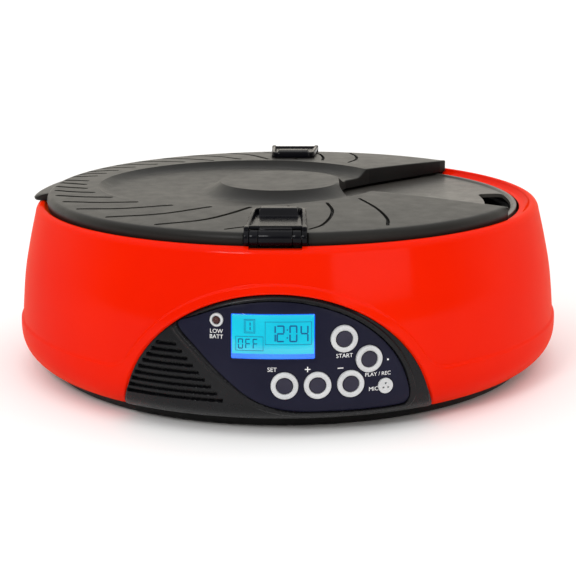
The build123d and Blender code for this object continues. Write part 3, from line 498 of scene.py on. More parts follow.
def make_shell():
    arch_angle, arch_z = arch_columns(0, 171)
    side = np.radians(np.arange(33.4, 327, 1.2))
    angle = np.concatenate([arch_angle, side])
    start = np.concatenate([arch_z, np.full(side.shape, SEAM_Z)])
    rows = []
    for share in np.linspace(0, 1, 150):
        z = start + (91.5 - start) * share
        radius = wall_radius(z) + raised(angle, z)
        rows.append((radius, z))
    for radius, z in list(smooth_curve(RIM_POINTS, 4))[1:] + WELL_POINTS:
        rows.append((np.full(angle.shape, radius), np.full(angle.shape, z)))
    for share in np.linspace(1, 0, 26)[1:]:
        z = start + (91.5 - start) * share
        rows.append((wall_radius(z) - SHELL_WALL, z))
    verts = []
    for radius, z in rows:
        verts.extend(zip(radius * np.sin(angle), -radius * np.cos(angle), z))
    shell = build("shell_ring", verts, grid_faces(len(rows), len(angle), True, True), "base", "shell_orange",
                  ["outer_shell"], sharp=40)
    cutters = []
    for side_sign in (1, -1):
        for part in (round_box((-13.6, 13.6), (-152, -139), (94.9, 110), 0.4),
                     cross_rod((-16.6, 16.6), LATCH_Y, LATCH_Z, BARREL_R + 0.5, 0.2)):
            verts, faces = part
            cutters.append(cutter([(side_sign * x, side_sign * y, z) for x, y, z in verts], faces))
    shell = carve(shell, cutters, 40)
    # painted shade: the orange shell's wall in the well below the lid gets the dark black_matte material,
    # standing in for the shade there
    shell.data.materials.append(MATERIALS["black_matte"])
    for face in shell.data.polygons:
        x, y, z = face.center
        if z < 92.6 * MM and math.hypot(x, y) < 139 * MM:
            face.material_index = 1
    return shell


# ---- panel ----


KEYPAD_LOOP = smooth_curve(KEYPAD, 14, closed=True)


def on_panel(x, z, lift=0.0):
    """Point on the panel's face at X and height, moved out by lift."""
    radius = panel_radius(z)
    angle = np.arcsin(np.clip(x / radius, -1, 1))
    return (radius + lift) * np.sin(angle), -(radius + lift) * np.cos(angle), z


def slot_depth(angle, z):
    degrees_ = np.degrees(angle)
    depth = np.zeros_like(z)
    count, first, pitch, height = SLOTS
    for index in range(count):
        share = index / (count - 1)
        left, right = -29.2 + 6.2 * share ** 1.3, -9.6 - 9.2 * share
        low = first + index * pitch
        up = step(z, low - 0.15, low + 0.2) * (1 - step(z, low + height - 0.2, low + height + 0.15))
        along = step(degrees_, left - 0.1, left + 0.25) * (1 - step(degrees_, right - 0.25, right + 0.1))
        depth = np.maximum(depth, up * along)
    return depth


def make_panel():
    angle, top = arch_columns(0.35, 421)
    rows = []
    total = 200
    for share in np.linspace(0, 1, total):
        z = 6.2 + (top - 6.2) * share
        radius = panel_radius(z)
        x = radius * np.sin(angle)
        pad = signed_distance(x, z, KEYPAD_LOOP)
        outer = step(pad, 3.4, 2.5)
        inner = 1 - step(pad, 0.1, 0.7)
        edge = step(-arch_distance(x, z), 0.3, 2.2)
        lift = 1.0 * (outer - inner) * edge - 1.2 * inner
        lift = lift - 2.6 * slot_depth(angle, z)
        lift = lift - 0.5 * (1 - step(-arch_distance(x, z), 0.0, 0.8))
        rows.append((radius + lift, z))
    for back in (1.2, 3.4):
        rows.append((rows[total - 1][0] - back, rows[total - 1][1]))
    rows.insert(0, (rows[0][0] - 3.4, rows[0][1]))
    verts = []
    for radius, z in rows:
        radius = np.minimum(radius, 160.5)
        verts.extend(zip(radius * np.sin(angle), -radius * np.cos(angle), z))
    faces = [(a, d, c, b) for a, b, c, d in grid_faces(len(rows), len(angle))]
    return build("panel_arch", verts, faces, "base", "panel_black", ["control_panel"], sharp=50, mend=False)


def circle(radius, count, centre=(0, 0)):
    a = np.arange(count) * 2 * math.pi / count
    return np.stack([centre[0] + radius * np.cos(a), centre[1] + radius * np.sin(a)], 1)


def flat_place(angle, height):
    return panel_radius(height) * math.sin(math.radians(angle)), height


def round_rect(x, z, corner, steps=5):
    points = []
    for cx, cz, first in ((x[1] - corner, z[1] - corner, 0), (x[0] + corner, z[1] - corner, 90),
                          (x[0] + corner, z[0] + corner, 180), (x[1] - corner, z[0] + corner, 270)):
        for k in range(steps + 1):
            a = math.radians(first + 90 * k / steps)
            points.append((cx + corner * math.cos(a), cz + corner * math.sin(a)))
    return np.array(points)


def dense(loop, spacing):
    """Adds points along the sides of a closed loop."""
    out = []
    for a, b in zip(loop, np.roll(loop, -1, axis=0)):
        count = max(1, int(np.hypot(*(b - a)) / spacing))
        out.extend(a + (b - a) * k / count for k in range(count))
    return np.array(out)


def loop_normals(loop):
    """Unit vectors to the right of a closed loop's direction."""
    run = np.roll(loop, -1, axis=0) - np.roll(loop, 1, axis=0)
    run /= np.linalg.norm(run, axis=1)[:, None] + 1e-12
    return np.stack([run[:, 1], -run[:, 0]], 1)


def turning(loop):
    a, b = loop, np.roll(loop, -1, axis=0)
    return 1 if np.sum(a[:, 0] * b[:, 1] - b[:, 0] * a[:, 1]) > 0 else -1


def moved_loop(loop, out):
    """Loop moved outwards by a distance, which may differ from point to point."""
    return loop + loop_normals(loop) * turning(loop) * np.broadcast_to(out, (len(loop),))[:, None]


def fill_plan(loops, keep, spacing, gap, lines=()):
    """Triangles over a region: closed loops are kept as edges, and keep(x, y) says which triangles stay."""
    points, edges = [], []
    for loop in loops:
        start = len(points)
        points.extend(loop)
        edges.extend((start + k, start + (k + 1) % len(loop)) for k in range(len(loop)))
    edge_points = np.array(points)
    low, high = edge_points.min(0), edge_points.max(0)
    clear = list(loops)
    for line in lines:
        free = keep(line[:, 0], line[:, 1])
        for loop in loops:
            free &= np.abs(signed_distance(line[:, 0], line[:, 1], loop)) > gap * 0.7
        for k in range(len(line) - 1):
            if free[k] and free[k + 1]:
                start = len(points)
                points.extend([line[k], line[k + 1]])
                edges.append((start, start + 1))
        clear.append(line)
    xs = np.arange(low[0], high[0], spacing)
    ys = np.arange(low[1], high[1], spacing * 0.866)
    gx, gy = np.meshgrid(xs, ys)
    gx = gx + (np.arange(len(ys)) % 2)[:, None] * spacing / 2
    gx, gy = gx.ravel(), gy.ravel()
    ok = keep(gx, gy)
    for loop in clear:
        ok &= np.abs(signed_distance(gx, gy, loop)) > gap
    points.extend(zip(gx[ok], gy[ok]))
    result = delaunay_2d_cdt([Vector(p) for p in points], edges, [], 0, 1e-5)
    verts = np.array([tuple(v) for v in result[0]])
    tris = np.array([tuple(f) for f in result[2]])
    middle = verts[tris].mean(1)
    stay = keep(middle[:, 0], middle[:, 1])
    return verts, tris[stay]


def make_fascia():
    outline = dense(KEYPAD_LOOP, 1.2)
    holes = [dense(round_rect(LCD_X, LCD_Z, 0.8), 1.5)]
    for place in KEYS.values():
        holes.append(circle(RING[0] + 0.05, 44, flat_place(*place)))
    holes.append(circle(3.55, 28, flat_place(*LED_PLACE)))
    holes.append(circle(4.05, 28, flat_place(*MIC_PLACE)))
    soft = 0.3
    tops = [moved_loop(outline, -soft)] + [moved_loop(hole, soft) for hole in holes]

    def keep(x, y):
        ok = signed_distance(x, y, tops[0]) < 0
        for hole in tops[1:]:
            ok &= signed_distance(x, y, hole) > 0
        return ok

    plan, tris = fill_plan(tops, keep, 2.6, 0.8)
    parts = [(list(zip(*on_panel(plan[:, 0], plan[:, 1], -0.2))), tris)]
    for loop, sign in [(outline, -1)] + [(hole, 1) for hole in holes]:
        rings = [(soft, -0.2), (soft * 0.3, -0.28), (0.0, -0.5), (0.0, -1.7)]
        verts = []
        for inset, lift in rings:
            ring = moved_loop(loop, sign * inset)
            verts.extend(zip(*on_panel(ring[:, 0], ring[:, 1], lift)))
        parts.append((verts, grid_faces(len(rings), len(loop), False, True)))
    verts, faces = merge(*parts)
    return build("keypad_face", verts, faces, "base", "navy", ["keypad_fascia"], sharp=50)


def patch(name, x, z, lift, nx, nz, slot, material, replaces=(), corner=0.4, depth=1.0):
    """Curved rectangular tile on the panel with rounded corners and a turned-down edge."""
    outline = dense(round_rect(x, z, corner), (x[1] - x[0]) / nx)
    soft = min(0.15, corner)
    top = moved_loop(outline, -soft)
    plan, tris = fill_plan([top], lambda a, b: signed_distance(a, b, top) < 0, (x[1] - x[0]) / nx,
                           (x[1] - x[0]) / nx * 0.4)
    parts = [(list(zip(*on_panel(plan[:, 0], plan[:, 1], lift))), tris)]
    verts = []
    for inset, low in ((soft, 0), (soft * 0.3, 0.05), (0, 0.15), (0, depth)):
        ring = moved_loop(outline, -inset)
        verts.extend(zip(*on_panel(ring[:, 0], ring[:, 1], lift - low)))
    parts.append((verts, grid_faces(4, len(outline), False, True)))
    verts, faces = merge(*parts)
    return build(name, verts, faces, "base", slot, replaces, MATERIALS[material])


SEGMENTS = {"0": "abcdef", "1": "bc", "2": "abged", "4": "fgbc", "F": "aefg"}


def segment_bars(letter, x, z, width, height, line):
    """Bars of a seven-segment figure as (x range, z range) pairs."""
    half = height / 2
    bars = {
        "a": ((x, x + width), (z + height - line, z + height)),
        "g": ((x, x + width), (z + half - line / 2, z + half + line / 2)),
        "d": ((x, x + width), (z, z + line)),
        "b": ((x + width - line, x + width), (z + half, z + height)),
        "c": ((x + width - line, x + width), (z, z + half)),
        "f": ((x, x + line), (z + half, z + height)),
        "e": ((x, x + line), (z, z + half)),
    }
    gap = line * 0.18
    out = []
    for key in SEGMENTS[letter]:
        (x0, x1), (z0, z1) = bars[key]
        if key in "agd":
            out.append(((x0 + line * 0.55, x1 - line * 0.55), (z0, z1)))
        else:
            out.append(((x0, x1), (z0 + line * 0.35 + gap, z1 - line * 0.35 - gap)))
    return out


def frame_bars(x, z, line):
    return [((x[0], x[1]), (z[0], z[0] + line)), ((x[0], x[1]), (z[1] - line, z[1])),
            ((x[0], x[0] + line), (z[0] + line, z[1] - line)),
            ((x[1] - line, x[1]), (z[0] + line, z[1] - line))]


def bars_mesh(bars, lift, thick):
    """Thin raised bars that follow the panel's curve."""
    parts = []
    for x, z in bars:
        columns = max(2, int((x[1] - x[0]) / 1.5) + 2)
        verts = []
        for height in (z[0], z[1]):
            for level in ((lift, lift + thick) if height == z[0] else (lift + thick, lift)):
                xs = np.linspace(x[0], x[1], columns)
                verts.extend(zip(*on_panel(xs, np.full(columns, height), level)))
        faces = grid_faces(4, columns, True, False)
        faces.append(tuple(k * columns for k in range(4)))
        faces.append(tuple(k * columns + columns - 1 for k in range(4)))
        parts.append((verts, faces))
    return merge(*parts)


def make_display():
    patch("lcd_surround", LCD_X, LCD_Z, -0.62, 14, 8, "lcd_glass", "lcd_edge", ["lcd_window"], 0.7)
    glow_x = (LCD_X[0] + 0.5, LCD_X[1] - 0.5)
    glow_z = (LCD_Z[0] + 2.6, LCD_Z[1] - 0.5)
    patch("lcd_lit_area", glow_x, glow_z, -0.5, 14, 8, "lcd_cell", "lcd_glow", (), 0.4, 0.3)
    width, height = glow_x[1] - glow_x[0], glow_z[1] - glow_z[0]
    at_x = lambda share: glow_x[0] + share * width
    at_z = lambda share: glow_z[1] - share * height
    bars = frame_bars((at_x(0.405), at_x(0.972)), (at_z(0.76), at_z(0.17)), 0.22)
    for letter, share in (("1", 0.44), ("2", 0.545), ("0", 0.70), ("4", 0.835)):
        bars += segment_bars(letter, at_x(share), at_z(0.69), width * 0.098, height * 0.43, 0.72)
    for share in (0.36, 0.56):
        bars.append(((at_x(0.668), at_x(0.684)), (at_z(share + 0.035), at_z(share))))
    bars += frame_bars((at_x(0.15), at_x(0.285)), (at_z(0.47), at_z(0.11)), 0.22)
    bars += frame_bars((at_x(0.166), at_x(0.269)), (at_z(0.44), at_z(0.14)), 0.16)
    bars += segment_bars("1", at_x(0.17), at_z(0.40), width * 0.06, height * 0.22, 0.5)
    bars += frame_bars((at_x(0.045), at_x(0.385)), (at_z(0.92), at_z(0.55)), 0.22)
    for letter, share in (("0", 0.075), ("F", 0.165), ("F", 0.255)):
        bars += segment_bars(letter, at_x(share), at_z(0.87), width * 0.062, height * 0.26, 0.5)
    verts, faces = bars_mesh(bars, -0.52, 0.07)
    build("lcd_figures", verts, faces, "base", "lcd_cell", (), MATERIALS["lcd_ink"])


def make_keys():
    outer, inner = RING
    lift = 0.75
    profile = [(inner, -1.5), (inner, lift - 0.55), (inner + 0.18, lift - 0.2), (inner + 0.55, lift),
               ((inner + outer) / 2, lift + 0.12), (outer - 0.6, lift), (outer - 0.18, lift - 0.2),
               (outer, lift - 0.6), (outer, -1.5)]
    ring = lathe(profile, 64)
    parts = []
    for angle, height in KEYS.values():
        parts.append((list(aimed(ring[0], angle, height, panel_radius(height))), ring[1]))
    verts, faces = merge(*parts)
    build("key_rings", verts, faces, "base", "silver_trim", ["button_rings"])
    cap = [(0.01, 0.05), (1.6, 0.1), (2.9, 0.28), (3.6, 0.38), (3.95, 0.3), (4.15, 0.05), (4.2, -0.4),
           (4.2, -4.9), (5.2, -4.9), (5.2, -5.0), (0.01, -5.0)]
    turned = lathe(cap, 56)
    for name, (angle, height) in KEYS.items():
        points = aimed(turned[0], angle, height, panel_radius(height))
        build(f"{name}_key_cap", list(points), turned[1], f"{name}_key", "key_plastic", [f"{name}_button"])
    led = lathe([(2.1, -1.5), (2.1, 0.1), (2.3, 0.4), (2.9, 0.55), (3.3, 0.4), (3.5, 0.0), (3.5, -1.5)], 48)
    points = aimed(led[0], *LED_PLACE, panel_radius(LED_PLACE[1]))
    build("led_bezel", list(points), led[1], "base", "silver_trim", ["led_ring"])


def make_mic():
    """Round microphone cover with three holes."""
    outline = circle(4.0, 44)
    holes = [circle(0.55, 18, (1.5 * math.cos(a), 1.5 * math.sin(a))) for a in
             (math.radians(90), math.radians(210), math.radians(330))]

    def keep(x, y):
        ok = signed_distance(x, y, top) < 0
        for hole in holes:
            ok &= signed_distance(x, y, hole) > 0
        return ok

    top = moved_loop(outline, -0.3)
    plan, tris = fill_plan([top] + holes, keep, 0.6, 0.2)
    parts = [([(x, y, 0.4) for x, y in plan], tris)]
    rings = []
    for inset, height in ((0.3, 0.4), (0.08, 0.32), (0, 0.1), (0, -1.5)):
        rings.extend((x, y, height) for x, y in moved_loop(outline, -inset))
    parts.append((rings, grid_faces(4, len(outline), False, True)))
    for hole in holes:
        wall = [(x, y, h) for h in (0.4, -0.8) for x, y in hole]
        parts.append((wall, grid_faces(2, len(hole), False, True) + [tuple(range(len(hole), 2 * len(hole)))]))
    verts, faces = merge(*parts)
    points = aimed(verts, *MIC_PLACE, panel_radius(MIC_PLACE[1]))
    build("mic_cover", list(points), faces, "base", "silver_trim", ["mic_grille"])


def label(name, words, angle, height, size):
    """Small printed word that follows the panel's curve."""
    curve = bpy.data.curves.new(name, "FONT")
    curve.body = words
    curve.size = size
    curve.align_x = "CENTER"
    curve.align_y = "CENTER"
    curve.space_line = 0.95
    curve.resolution_u = 4
    text = bpy.data.objects.new(name + "_text", curve)
    bpy.context.scene.collection.objects.link(text)
    bpy.context.view_layer.update()
    mesh = bpy.data.meshes.new_from_object(text.evaluated_get(bpy.context.evaluated_depsgraph_get()))
    bpy.data.objects.remove(text)
    bm = bmesh.new()
    bm.from_mesh(mesh)
    bmesh.ops.remove_doubles(bm, verts=bm.verts, dist=0.001)
    made = bmesh.ops.extrude_face_region(bm, geom=list(bm.faces))
    for v in [g for g in made["geom"] if isinstance(g, bmesh.types.BMVert)]:
        v.co.z = 0.06
    verts = np.array([tuple(v.co) for v in bm.verts])
    bm.verts.index_update()
    faces = [tuple(v.index for v in f.verts) for f in bm.faces]
    bm.free()
    x0, z0 = flat_place(angle, height)
    points = np.array([on_panel(x0 + x, z0 + y, -0.2 + z) for x, y, z in verts])
    build(name, list(points), faces, "base", "silver_trim", (), MATERIALS["white_print"], sharp=20)


def make_labels():
    label("print_set", "SET", -0.54, 35.7, 3.1)
    label("print_start", "START", 12.75, 42.0, 2.9)
    label("print_play", "PLAY / REC", 19.0, 31.4, 2.7)
    label("print_mic", "MIC", 18.1, 23.9, 2.9)
    label("print_low", "LOW\nBATT", -10.95, 53.0, 2.9)
    bars = [((15.0, 17.8), (35.6, 36.1)), ((16.15, 16.65), (34.5, 37.2)), ((31.5, 34.4), (35.6, 36.1))]
    verts, faces = bars_mesh(bars, -0.2, 0.06)
    build("print_signs", verts, faces, "base", "silver_trim", (), MATERIALS["white_print"])
    dot = lathe([(0.01, 0.0), (0.5, 0.0), (0.5, -0.3), (0.01, -0.3)], 20)
    points = aimed(dot[0], 21.04, 38.4, panel_radius(38.4) - 0.12)
    build("print_dot", list(points), dot[1], "base", "silver_trim", (), MATERIALS["white_print"])


# ---- lid ----


def line_circle(start, direction, radius):
    d = np.array(direction, float) / np.hypot(*direction)
    s = np.array(start, float)
    b = s @ d
    return s + d * (-b + math.sqrt(b * b - s @ s + radius * radius))


def fillet_corner(a, b, c, radius, steps=6):
    """Arc that rounds the corner at b."""
    a, b, c = (np.array(p, float) for p in (a, b, c))
    u, w = (a - b) / np.linalg.norm(a - b), (c - b) / np.linalg.norm(c - b)
    half = math.acos(np.clip(u @ w, -1, 1)) / 2
    run = radius / math.tan(half)
    p, q = b + u * run, b + w * run
    centre = b + (u + w) / np.linalg.norm(u + w) * radius / math.sin(half)
    a0 = math.atan2(*(p - centre)[::-1])
    a1 = math.atan2(*(q - centre)[::-1])
    turn = (a1 - a0 + math.pi) % (2 * math.pi) - math.pi
    return [centre + radius * np.array([math.cos(a0 + turn * k / steps), math.sin(a0 + turn * k / steps)])
            for k in range(steps + 1)]


def lid_outline():
    """Closed plan of the lid, anticlockwise, with 1 for points on the round edge and 0 on the opening."""
    front = line_circle(OPENING[0], FRONT_EDGE, LID_R)
    back = line_circle(OPENING[-1], BACK_EDGE, LID_R)
    a0, a1 = math.atan2(back[1], back[0]), math.atan2(front[1], front[0]) + 2 * math.pi
    trim = 2.4 / LID_R
    arc = [LID_R * np.array([math.cos(a), math.sin(a)]) for a in np.linspace(a0 + trim, a1 - trim, 330)]
    path = [front] + [np.array(p, float) for p in OPENING] + [back]
    loop, kind = list(arc), [1.0] * len(arc)
    radii = [2.0, 5.0, 5.0, 8.0, 8.0, 5.0, 3.0, 2.0]
    for i, corner in enumerate(path):
        before = arc[-1] if i == 0 else path[i - 1]
        after = arc[0] if i == len(path) - 1 else path[i + 1]
        points = fillet_corner(before, corner, after, radii[i])
        if i:
            gap = np.linalg.norm(points[0] - loop[-1])
            extra = int(gap / 2.2)
            for k in range(1, extra):
                loop.append(last + (points[0] - last) * k / extra)
                kind.append(0.0)
        loop.extend(points)
        kind.extend([0.0] * len(points))
        last = points[-1]
    return np.array(loop), np.array(kind)


def groove_paths():
    return [smooth_curve(points, 9) for points in GROOVES]


def around(path, half):
    """Closed loop at a distance round an open path, with round ends."""
    run = np.gradient(path, axis=0)
    run /= np.linalg.norm(run, axis=1)[:, None]
    side = np.stack([-run[:, 1], run[:, 0]], 1)
    left, right = path + side * half, path - side * half
    caps = []
    for end, direction in ((path[-1], run[-1]), (path[0], -run[0])):
        base = math.atan2(direction[1], direction[0])
        caps.append([end + half * np.array([math.cos(base + a), math.sin(base + a)])
                     for a in np.radians([60, 30, 0, -30, -60])])
    return np.vstack([left, caps[0], right[::-1], caps[1]])


def lid_height(x, y):
    """Top surface of the lid without its grooves."""
    dome = 102.2 + 3.4 * (1 - (np.hypot(x, y) / 139.5) ** 2)
    (cx, cy), (ax, ay) = DISH
    u, w = (x - cx) / ax, (y - cy) / ay
    f = np.sqrt(u * u + w * w) + 1e-9
    inside = (1 - f) * f / np.sqrt((u / ax) ** 2 + (w / ay) ** 2 + 1e-12)
    dish = 1 - (1 - np.clip(inside / DISH_SLOPE, 0, 1)) ** 1.7
    bowl = dome - (dome - DISH_FLOOR) * dish
    beyond = np.hypot(x - DISC[0][0], y - DISC[0][1]) - DISC[1]
    disc = (1 - np.clip(beyond / DISC_SLOPE, 0, 1)) ** 1.7
    return bowl + (DISC_TOP - bowl) * disc


def creases():
    """Lines along the dish's and the disc's sharp edges."""
    (cx, cy), (ax, ay) = DISH
    a = np.linspace(0, 2 * math.pi, 260)
    dish = np.stack([cx + ax * np.cos(a), cy + ay * np.sin(a)], 1)
    disc = np.stack([DISC[0][0] + DISC[1] * np.cos(a[::2]), DISC[0][1] + DISC[1] * np.sin(a[::2])], 1)
    return [dish, disc]


def make_lid():
    outline, kind = lid_outline()
    smooth_kind = kind.copy()
    for _ in range(3):
        smooth_kind = (np.roll(smooth_kind, 1) + smooth_kind + np.roll(smooth_kind, -1)) / 3
        smooth_kind = np.minimum(smooth_kind, kind)
    shoulder = 0.7 + 2.4 * smooth_kind
    drop = 0.7 + 3.2 * smooth_kind
    bottom = LID_WALL_BOTTOM_Z + (LID_BOTTOM_Z - LID_WALL_BOTTOM_Z) * kind
    top_loop = moved_loop(outline, -shoulder)
    top_z = lid_height(top_loop[:, 0], top_loop[:, 1])
    paths = groove_paths()
    halves = [GROOVE_HALVES[0] if path[-1][0] < -10 else GROOVE_HALVES[1] for path in paths]
    lips = [around(path, half) for path, half in zip(paths, halves)]
    floors = [around(path, half - GROOVE_WALL) for path, half in zip(paths, halves)]

    def keep(x, y):
        return signed_distance(x, y, top_loop) < 0

    plan, tris = fill_plan([top_loop] + lips + floors, keep, 2.4, 0.9, creases())
    z = lid_height(plan[:, 0], plan[:, 1])
    for lip in lips:
        low, high = lip.min(0) - 1, lip.max(0) + 1
        near = np.where((plan > low).all(1) & (plan < high).all(1))[0]
        d = signed_distance(plan[near, 0], plan[near, 1], lip)
        z[near] -= GROOVE_DEPTH * step(-d, 0.02, GROOVE_WALL - 0.02)
    # painted shade: near-black strips just above each groove's floor stand in for the shade inside the
    # grooves
    shade = []
    for path, width in zip(paths, halves):
        strip = around(path, width - GROOVE_WALL + 0.05)
        half = (len(strip) - 10) // 2
        ring = [(x, y, lid_height(x, y) - GROOVE_DEPTH + 0.04) for x, y in strip]
        count = len(strip)
        faces = [(k, k + 1, count - 7 - k, count - 6 - k) for k in range(half - 1)]
        faces.append(tuple(range(half - 1, half + 6)))
        faces.append((0,) + tuple(range(count - 6, count)))
        shade.append((ring, faces))
    verts, faces = merge(*shade)
    build("lid_groove_painted_shade", verts, faces, "lid", "lid_charcoal", (), MATERIALS["groove_painted_shade"], mend=False)
    parts = [([(x, y, h) for (x, y), h in zip(plan, z)], tris)]
    rings = []
    for turn in np.radians([0, 18, 36, 54, 72, 90]):
        ring = moved_loop(outline, -shoulder * (1 - math.sin(turn)))
        rings.append((ring, top_z - drop * (1 - math.cos(turn))))
    rings.append((moved_loop(outline, -0.5 * kind), bottom + 1.0))
    rings.append((moved_loop(outline, -0.8 * kind), bottom + 0.25))
    rings.append((moved_loop(outline, -0.8 * kind - 0.3), bottom))
    rings.append((moved_loop(outline, -0.8 * kind - LID_WALL + 0.3), bottom))
    rings.append((moved_loop(outline, -0.8 * kind - LID_WALL), bottom + 0.3))
    inner_low = moved_loop(outline, -shoulder - 1.6)
    inner_z = lid_height(inner_low[:, 0], inner_low[:, 1]) - LID_WALL
    rings.append((moved_loop(outline, -0.6 * kind - LID_WALL), inner_z - 2.0 - 1.5 * kind))
    rings.append((inner_low, inner_z))
    verts = []
    for ring, heights in rings:
        verts.extend((x, y, h) for (x, y), h in zip(ring, heights))
    parts.append((verts, grid_faces(len(rings), len(outline), False, True)))
    under, under_tris = fill_plan([inner_low], lambda x, y: signed_distance(x, y, inner_low) < 0, 4.5, 1.5)
    parts.append(([(x, y, lid_height(x, y) - LID_WALL) for x, y in under], under_tris))
    verts, faces = merge(*parts)
    lid = build("lid_cover", verts, faces, "lid", "lid_charcoal", ["lid"], sharp=32)
    # painted shade: the opening's cut walls get the darker black_matte material, standing in for the shade
    # inside the opening
    lid.data.materials.append(MATERIALS["black_matte"])
    for face in lid.data.polygons:
        x, y, _ = face.center
        if x > 28 * MM and math.hypot(x, y) < 137 * MM and abs(face.normal.z) < 0.25:
            face.material_index = 1
    cutters = []
    for sign in (1, -1):
        for part in (cross_rod((-16.7, 16.7), LATCH_Y, LATCH_Z, BARREL_R + 0.45, 0.2),
                     round_box((-9, 9), (-147, -136), (90, 99.5), 0)):
            points, these = part
            cutters.append(cutter([(sign * x, sign * y, h) for x, y, h in points], these))
    return carve(lid, cutters, 32)


def make_lift_tab():
    """Thumb tab that stands over the rim at the left."""
    steps = np.linspace(0, 1, 60)
    angle = np.radians(187.5 - 38 * steps)
    reach = 151.2 - 9.4 * steps ** 1.5 - 2.6 * (1 - np.sqrt(1 - (1 - np.clip(steps / 0.08, 0, 1)) ** 2))
    section = [(0.0, 96.6), (0.0, 101.0), (0.35, 100.7), (0.62, 100.2), (0.82, 99.6), (0.94, 98.9),
               (1.0, 98.0), (0.99, 97.2), (0.94, 96.6)]
    verts = []
    for a, far in zip(angle, reach):
        for share, z in section:
            r = 138.0 + (far - 138.0) * share
            verts.append((r * math.cos(a), r * math.sin(a), z))
    faces = grid_faces(len(angle), len(section), False, True)
    faces.append(tuple(range(len(section))))
    last = (len(angle) - 1) * len(section)
    faces.append(tuple(range(last, last + len(section))))
    build("lid_thumb_tab", verts, faces, "lid", "lid_charcoal", (), sharp=50)


def make_knuckles():
    parts = []
    for sign in (1, -1):
        for side in (1, -1):
            x = (side * 8.75, side * 13.2)
            for verts, faces in (cross_rod(x, LATCH_Y, LATCH_Z, BARREL_R - 0.1, 0.45),
                                 round_box(tuple(sorted(x)), (-142.5, -137.6), (97.6, 101.6), 0.3)):
                parts.append(([(sign * a, sign * b, c) for a, b, c in verts], faces))
    verts, faces = merge(*parts)
    build("lid_knuckles", verts, faces, "lid", "latch_gloss", (), sharp=40)


def latch_outline():
    """Plan of the latch's plate, drawn at the front: a trapezoid with its inner corners well rounded."""
    corners = [(-15.9, -141.0), (15.9, -141.0), (14.3, -98.6), (-14.3, -98.6)]
    radii = [0.6, 0.6, 5.0, 5.0]
    loop = []
    for i, corner in enumerate(corners):
        loop.extend(fillet_corner(corners[i - 1], corner, corners[(i + 1) % 4], radii[i], 8))
    return dense(np.array(loop), 1.0)


def latch_height(x, y, outline):
    """Top of the latch's plate: a flat panel inside a raised frame that swells into the finger lip."""
    edge = -signed_distance(x, y, outline)
    rise = step(y, -141, -106)
    frame = 105.9 + 1.7 * rise - 5.0 * np.clip(edge - 2.3, 0, 1)
    inner = 1 - step(np.abs(x), 9.6, 11.2)
    lip = 104.8 + (3.9 * step(y, -110.6, -106.6) - 0.7 * step(y, -102.5, -98.8)) * inner
    top = np.maximum(np.maximum(frame, lip), 104.9)
    soft = np.clip(edge, 0, 0.9)
    return top - (0.9 - np.sqrt(np.maximum(0.81 - (0.9 - soft) ** 2, 0)))


def make_latch(name, body, sign, node):
    outline = latch_outline()
    plan, tris = fill_plan([outline], lambda x, y: signed_distance(x, y, outline) < 0, 0.62, 0.3)
    bars = [([(x, y, z) for (x, y), z in zip(plan, latch_height(plan[:, 0], plan[:, 1], outline))], tris)]
    edge_z = latch_height(outline[:, 0], outline[:, 1], outline)
    rim = [(x, y, z) for (x, y), z in zip(outline, edge_z)] + [(x, y, 104.25) for x, y in outline]
    base = [tuple(range(len(outline), 2 * len(outline)))]
    bars.append((rim, grid_faces(2, len(outline), False, True) + base))
    bars.append(cross_rod((-8.6, 8.6), LATCH_Y, LATCH_Z, BARREL_R, 0.35))
    for side in (1, -1):
        x = tuple(sorted((side * 13.35, side * 16.0)))
        bars.append(cross_rod(x, LATCH_Y, LATCH_Z, BARREL_R, 0.5))
        bars.append(round_box(x, (LATCH_Y - 0.8, LATCH_Y + 3.9), (100.4, 106.0), 0.7))
    bars.append(round_box((-8.6, 8.6), (-143.2, -139.3), (101.0, 105.2), 0.9))
    bars.append(round_box((-8, 8), (-144.0, -142.6), (96.0, 98.4), 0.4))
    verts, faces = merge(*bars)
    build(name, [(sign * x, sign * y, z) for x, y, z in verts], faces, body, "latch_gloss", [node], sharp=40)


# ---- carried-over nodes ----


def finish_nodes():
    """Gives each CAD node that still shows the material of its slot."""
    slots = {entry["node"]: entry["material_slot"] for entry in frame["record"]["subparts"]}
    for name, obj in frame["nodes"].items():
        material = MATERIALS[slots[name]]
        if not obj.material_slots:
            obj.data.materials.append(material)
        for place in obj.material_slots:
            place.material = material


# ---- set and camera ----


def make_stage():
    mesh = bpy.data.meshes.new("floor")
    size = 9.0
    corners = [(-size, -size, 0), (size, -size, 0), (size, size, 0), (-size, size, 0)]
    mesh.from_pydata(corners, [], [(0, 1, 2, 3)])
    obj = bpy.data.objects.new("floor", mesh)
    bpy.context.scene.collection.objects.link(obj)
    material, tree, shader, where = new_material("floor_paper")
    paper = ramp(tree, noise(tree, where, 3, 3), [(0.3, (0.90, 0.90, 0.90)), (0.7, (0.94, 0.94, 0.94))])
    tree.links.new(paper, shader.inputs["Base Color"])
    shader.inputs["Roughness"].default_value = 0.9
    shader.inputs["Specular IOR Level"].default_value = 0.1
    mesh.materials.append(material)


def area_light(name, place, target, size, power, colour=(1, 1, 1)):
    light = bpy.data.lights.new(name, "AREA")
    light.shape = "RECTANGLE"
    light.size, light.size_y = size
    light.energy = power
    light.color = colour
    obj = bpy.data.objects.new(name, light)
    obj.location = place
    aim = Vector(target) - Vector(place)
    obj.rotation_euler = aim.to_track_quat("-Z", "Y").to_euler()
    bpy.context.scene.collection.objects.link(obj)


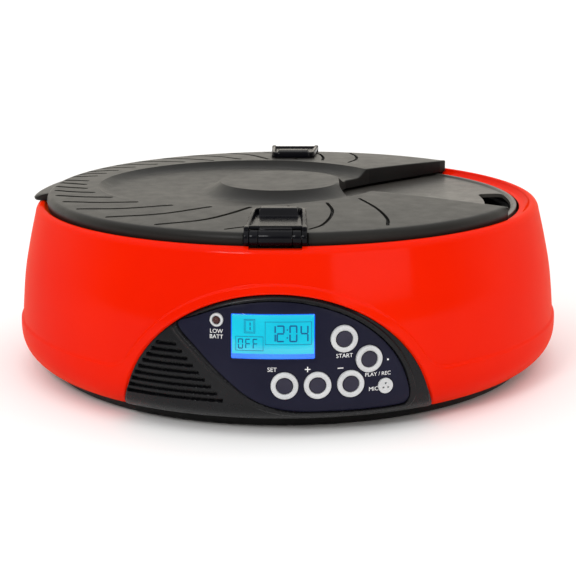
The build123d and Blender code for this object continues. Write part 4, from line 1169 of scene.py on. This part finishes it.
def make_lights():
    """Soft studio: a bright sky overhead and behind, a dimmer one in front, and two weak panels."""
    world = bpy.data.worlds.new("studio")
    world.use_nodes = True
    tree = world.node_tree
    shader = tree.nodes["Background"]
    where = tree.nodes.new("ShaderNodeTexCoord").outputs["Generated"]
    split = tree.nodes.new("ShaderNodeSeparateXYZ")
    tree.links.new(where, split.inputs["Vector"])
    behind = ramp(tree, split.outputs["Z"], [(0.0, (1.08, 1.0, 0.88)), (0.35, (1.04, 1.0, 0.90)),
                                             (0.75, (1.0, 1.0, 1.0))])
    before = ramp(tree, split.outputs["Z"], [(0.0, (0.12, 0.12, 0.12)), (0.35, (0.22, 0.22, 0.22)),
                                             (0.75, (1.0, 1.0, 1.0))])
    mix = tree.nodes.new("ShaderNodeMix")
    mix.data_type = "RGBA"
    tree.links.new(spread(tree, split.outputs["Y"], 0, 1, -0.3, 0.3), mix.inputs[0])
    tree.links.new(before, mix.inputs[6])
    tree.links.new(behind, mix.inputs[7])
    tree.links.new(mix.outputs[2], shader.inputs["Color"])
    shader.inputs["Strength"].default_value = 1.3
    bpy.context.scene.world = world
    area_light("key", (-0.42, -1.0, 0.75), (0, 0, 0.05), (0.30, 0.22), 4)
    area_light("fill", (0.9, -1.2, 0.5), (0, 0, 0.05), (0.9, 0.5), 3, (1.0, 0.95, 0.88))


def make_camera():
    azimuth, lift, distance, roll = math.radians(2.4), 0.2365, 0.8614, 0.00658
    target = Vector((0, 0, 0.045))
    back = Vector((math.sin(azimuth) * math.cos(lift), -math.cos(azimuth) * math.cos(lift), math.sin(lift)))
    camera = bpy.data.cameras.new("camera")
    camera.sensor_width = 36.0
    camera.lens = 88.14
    camera.shift_x = 0.00064
    camera.shift_y = -0.01735
    obj = bpy.data.objects.new("camera", camera)
    obj.location = target + back * distance
    turn = (-back).to_track_quat("-Z", "Y") @ Quaternion((0, 0, 1), -roll)
    obj.rotation_euler = turn.to_euler()
    bpy.context.scene.collection.objects.link(obj)
    bpy.context.scene.camera = obj


def main():
    make_camera()
    make_lights()
    make_stage()
    bpy.context.scene.view_settings.view_transform = "Standard"
    make_shell()
    make_panel()
    make_fascia()
    make_display()
    make_keys()
    make_mic()
    make_labels()
    make_lid()
    make_lift_tab()
    make_knuckles()
    make_latch("front_latch_lever", "front_latch", 1, "latch_front")
    make_latch("back_latch_lever", "back_latch", -1, "latch_back")
    finish_nodes()


main()
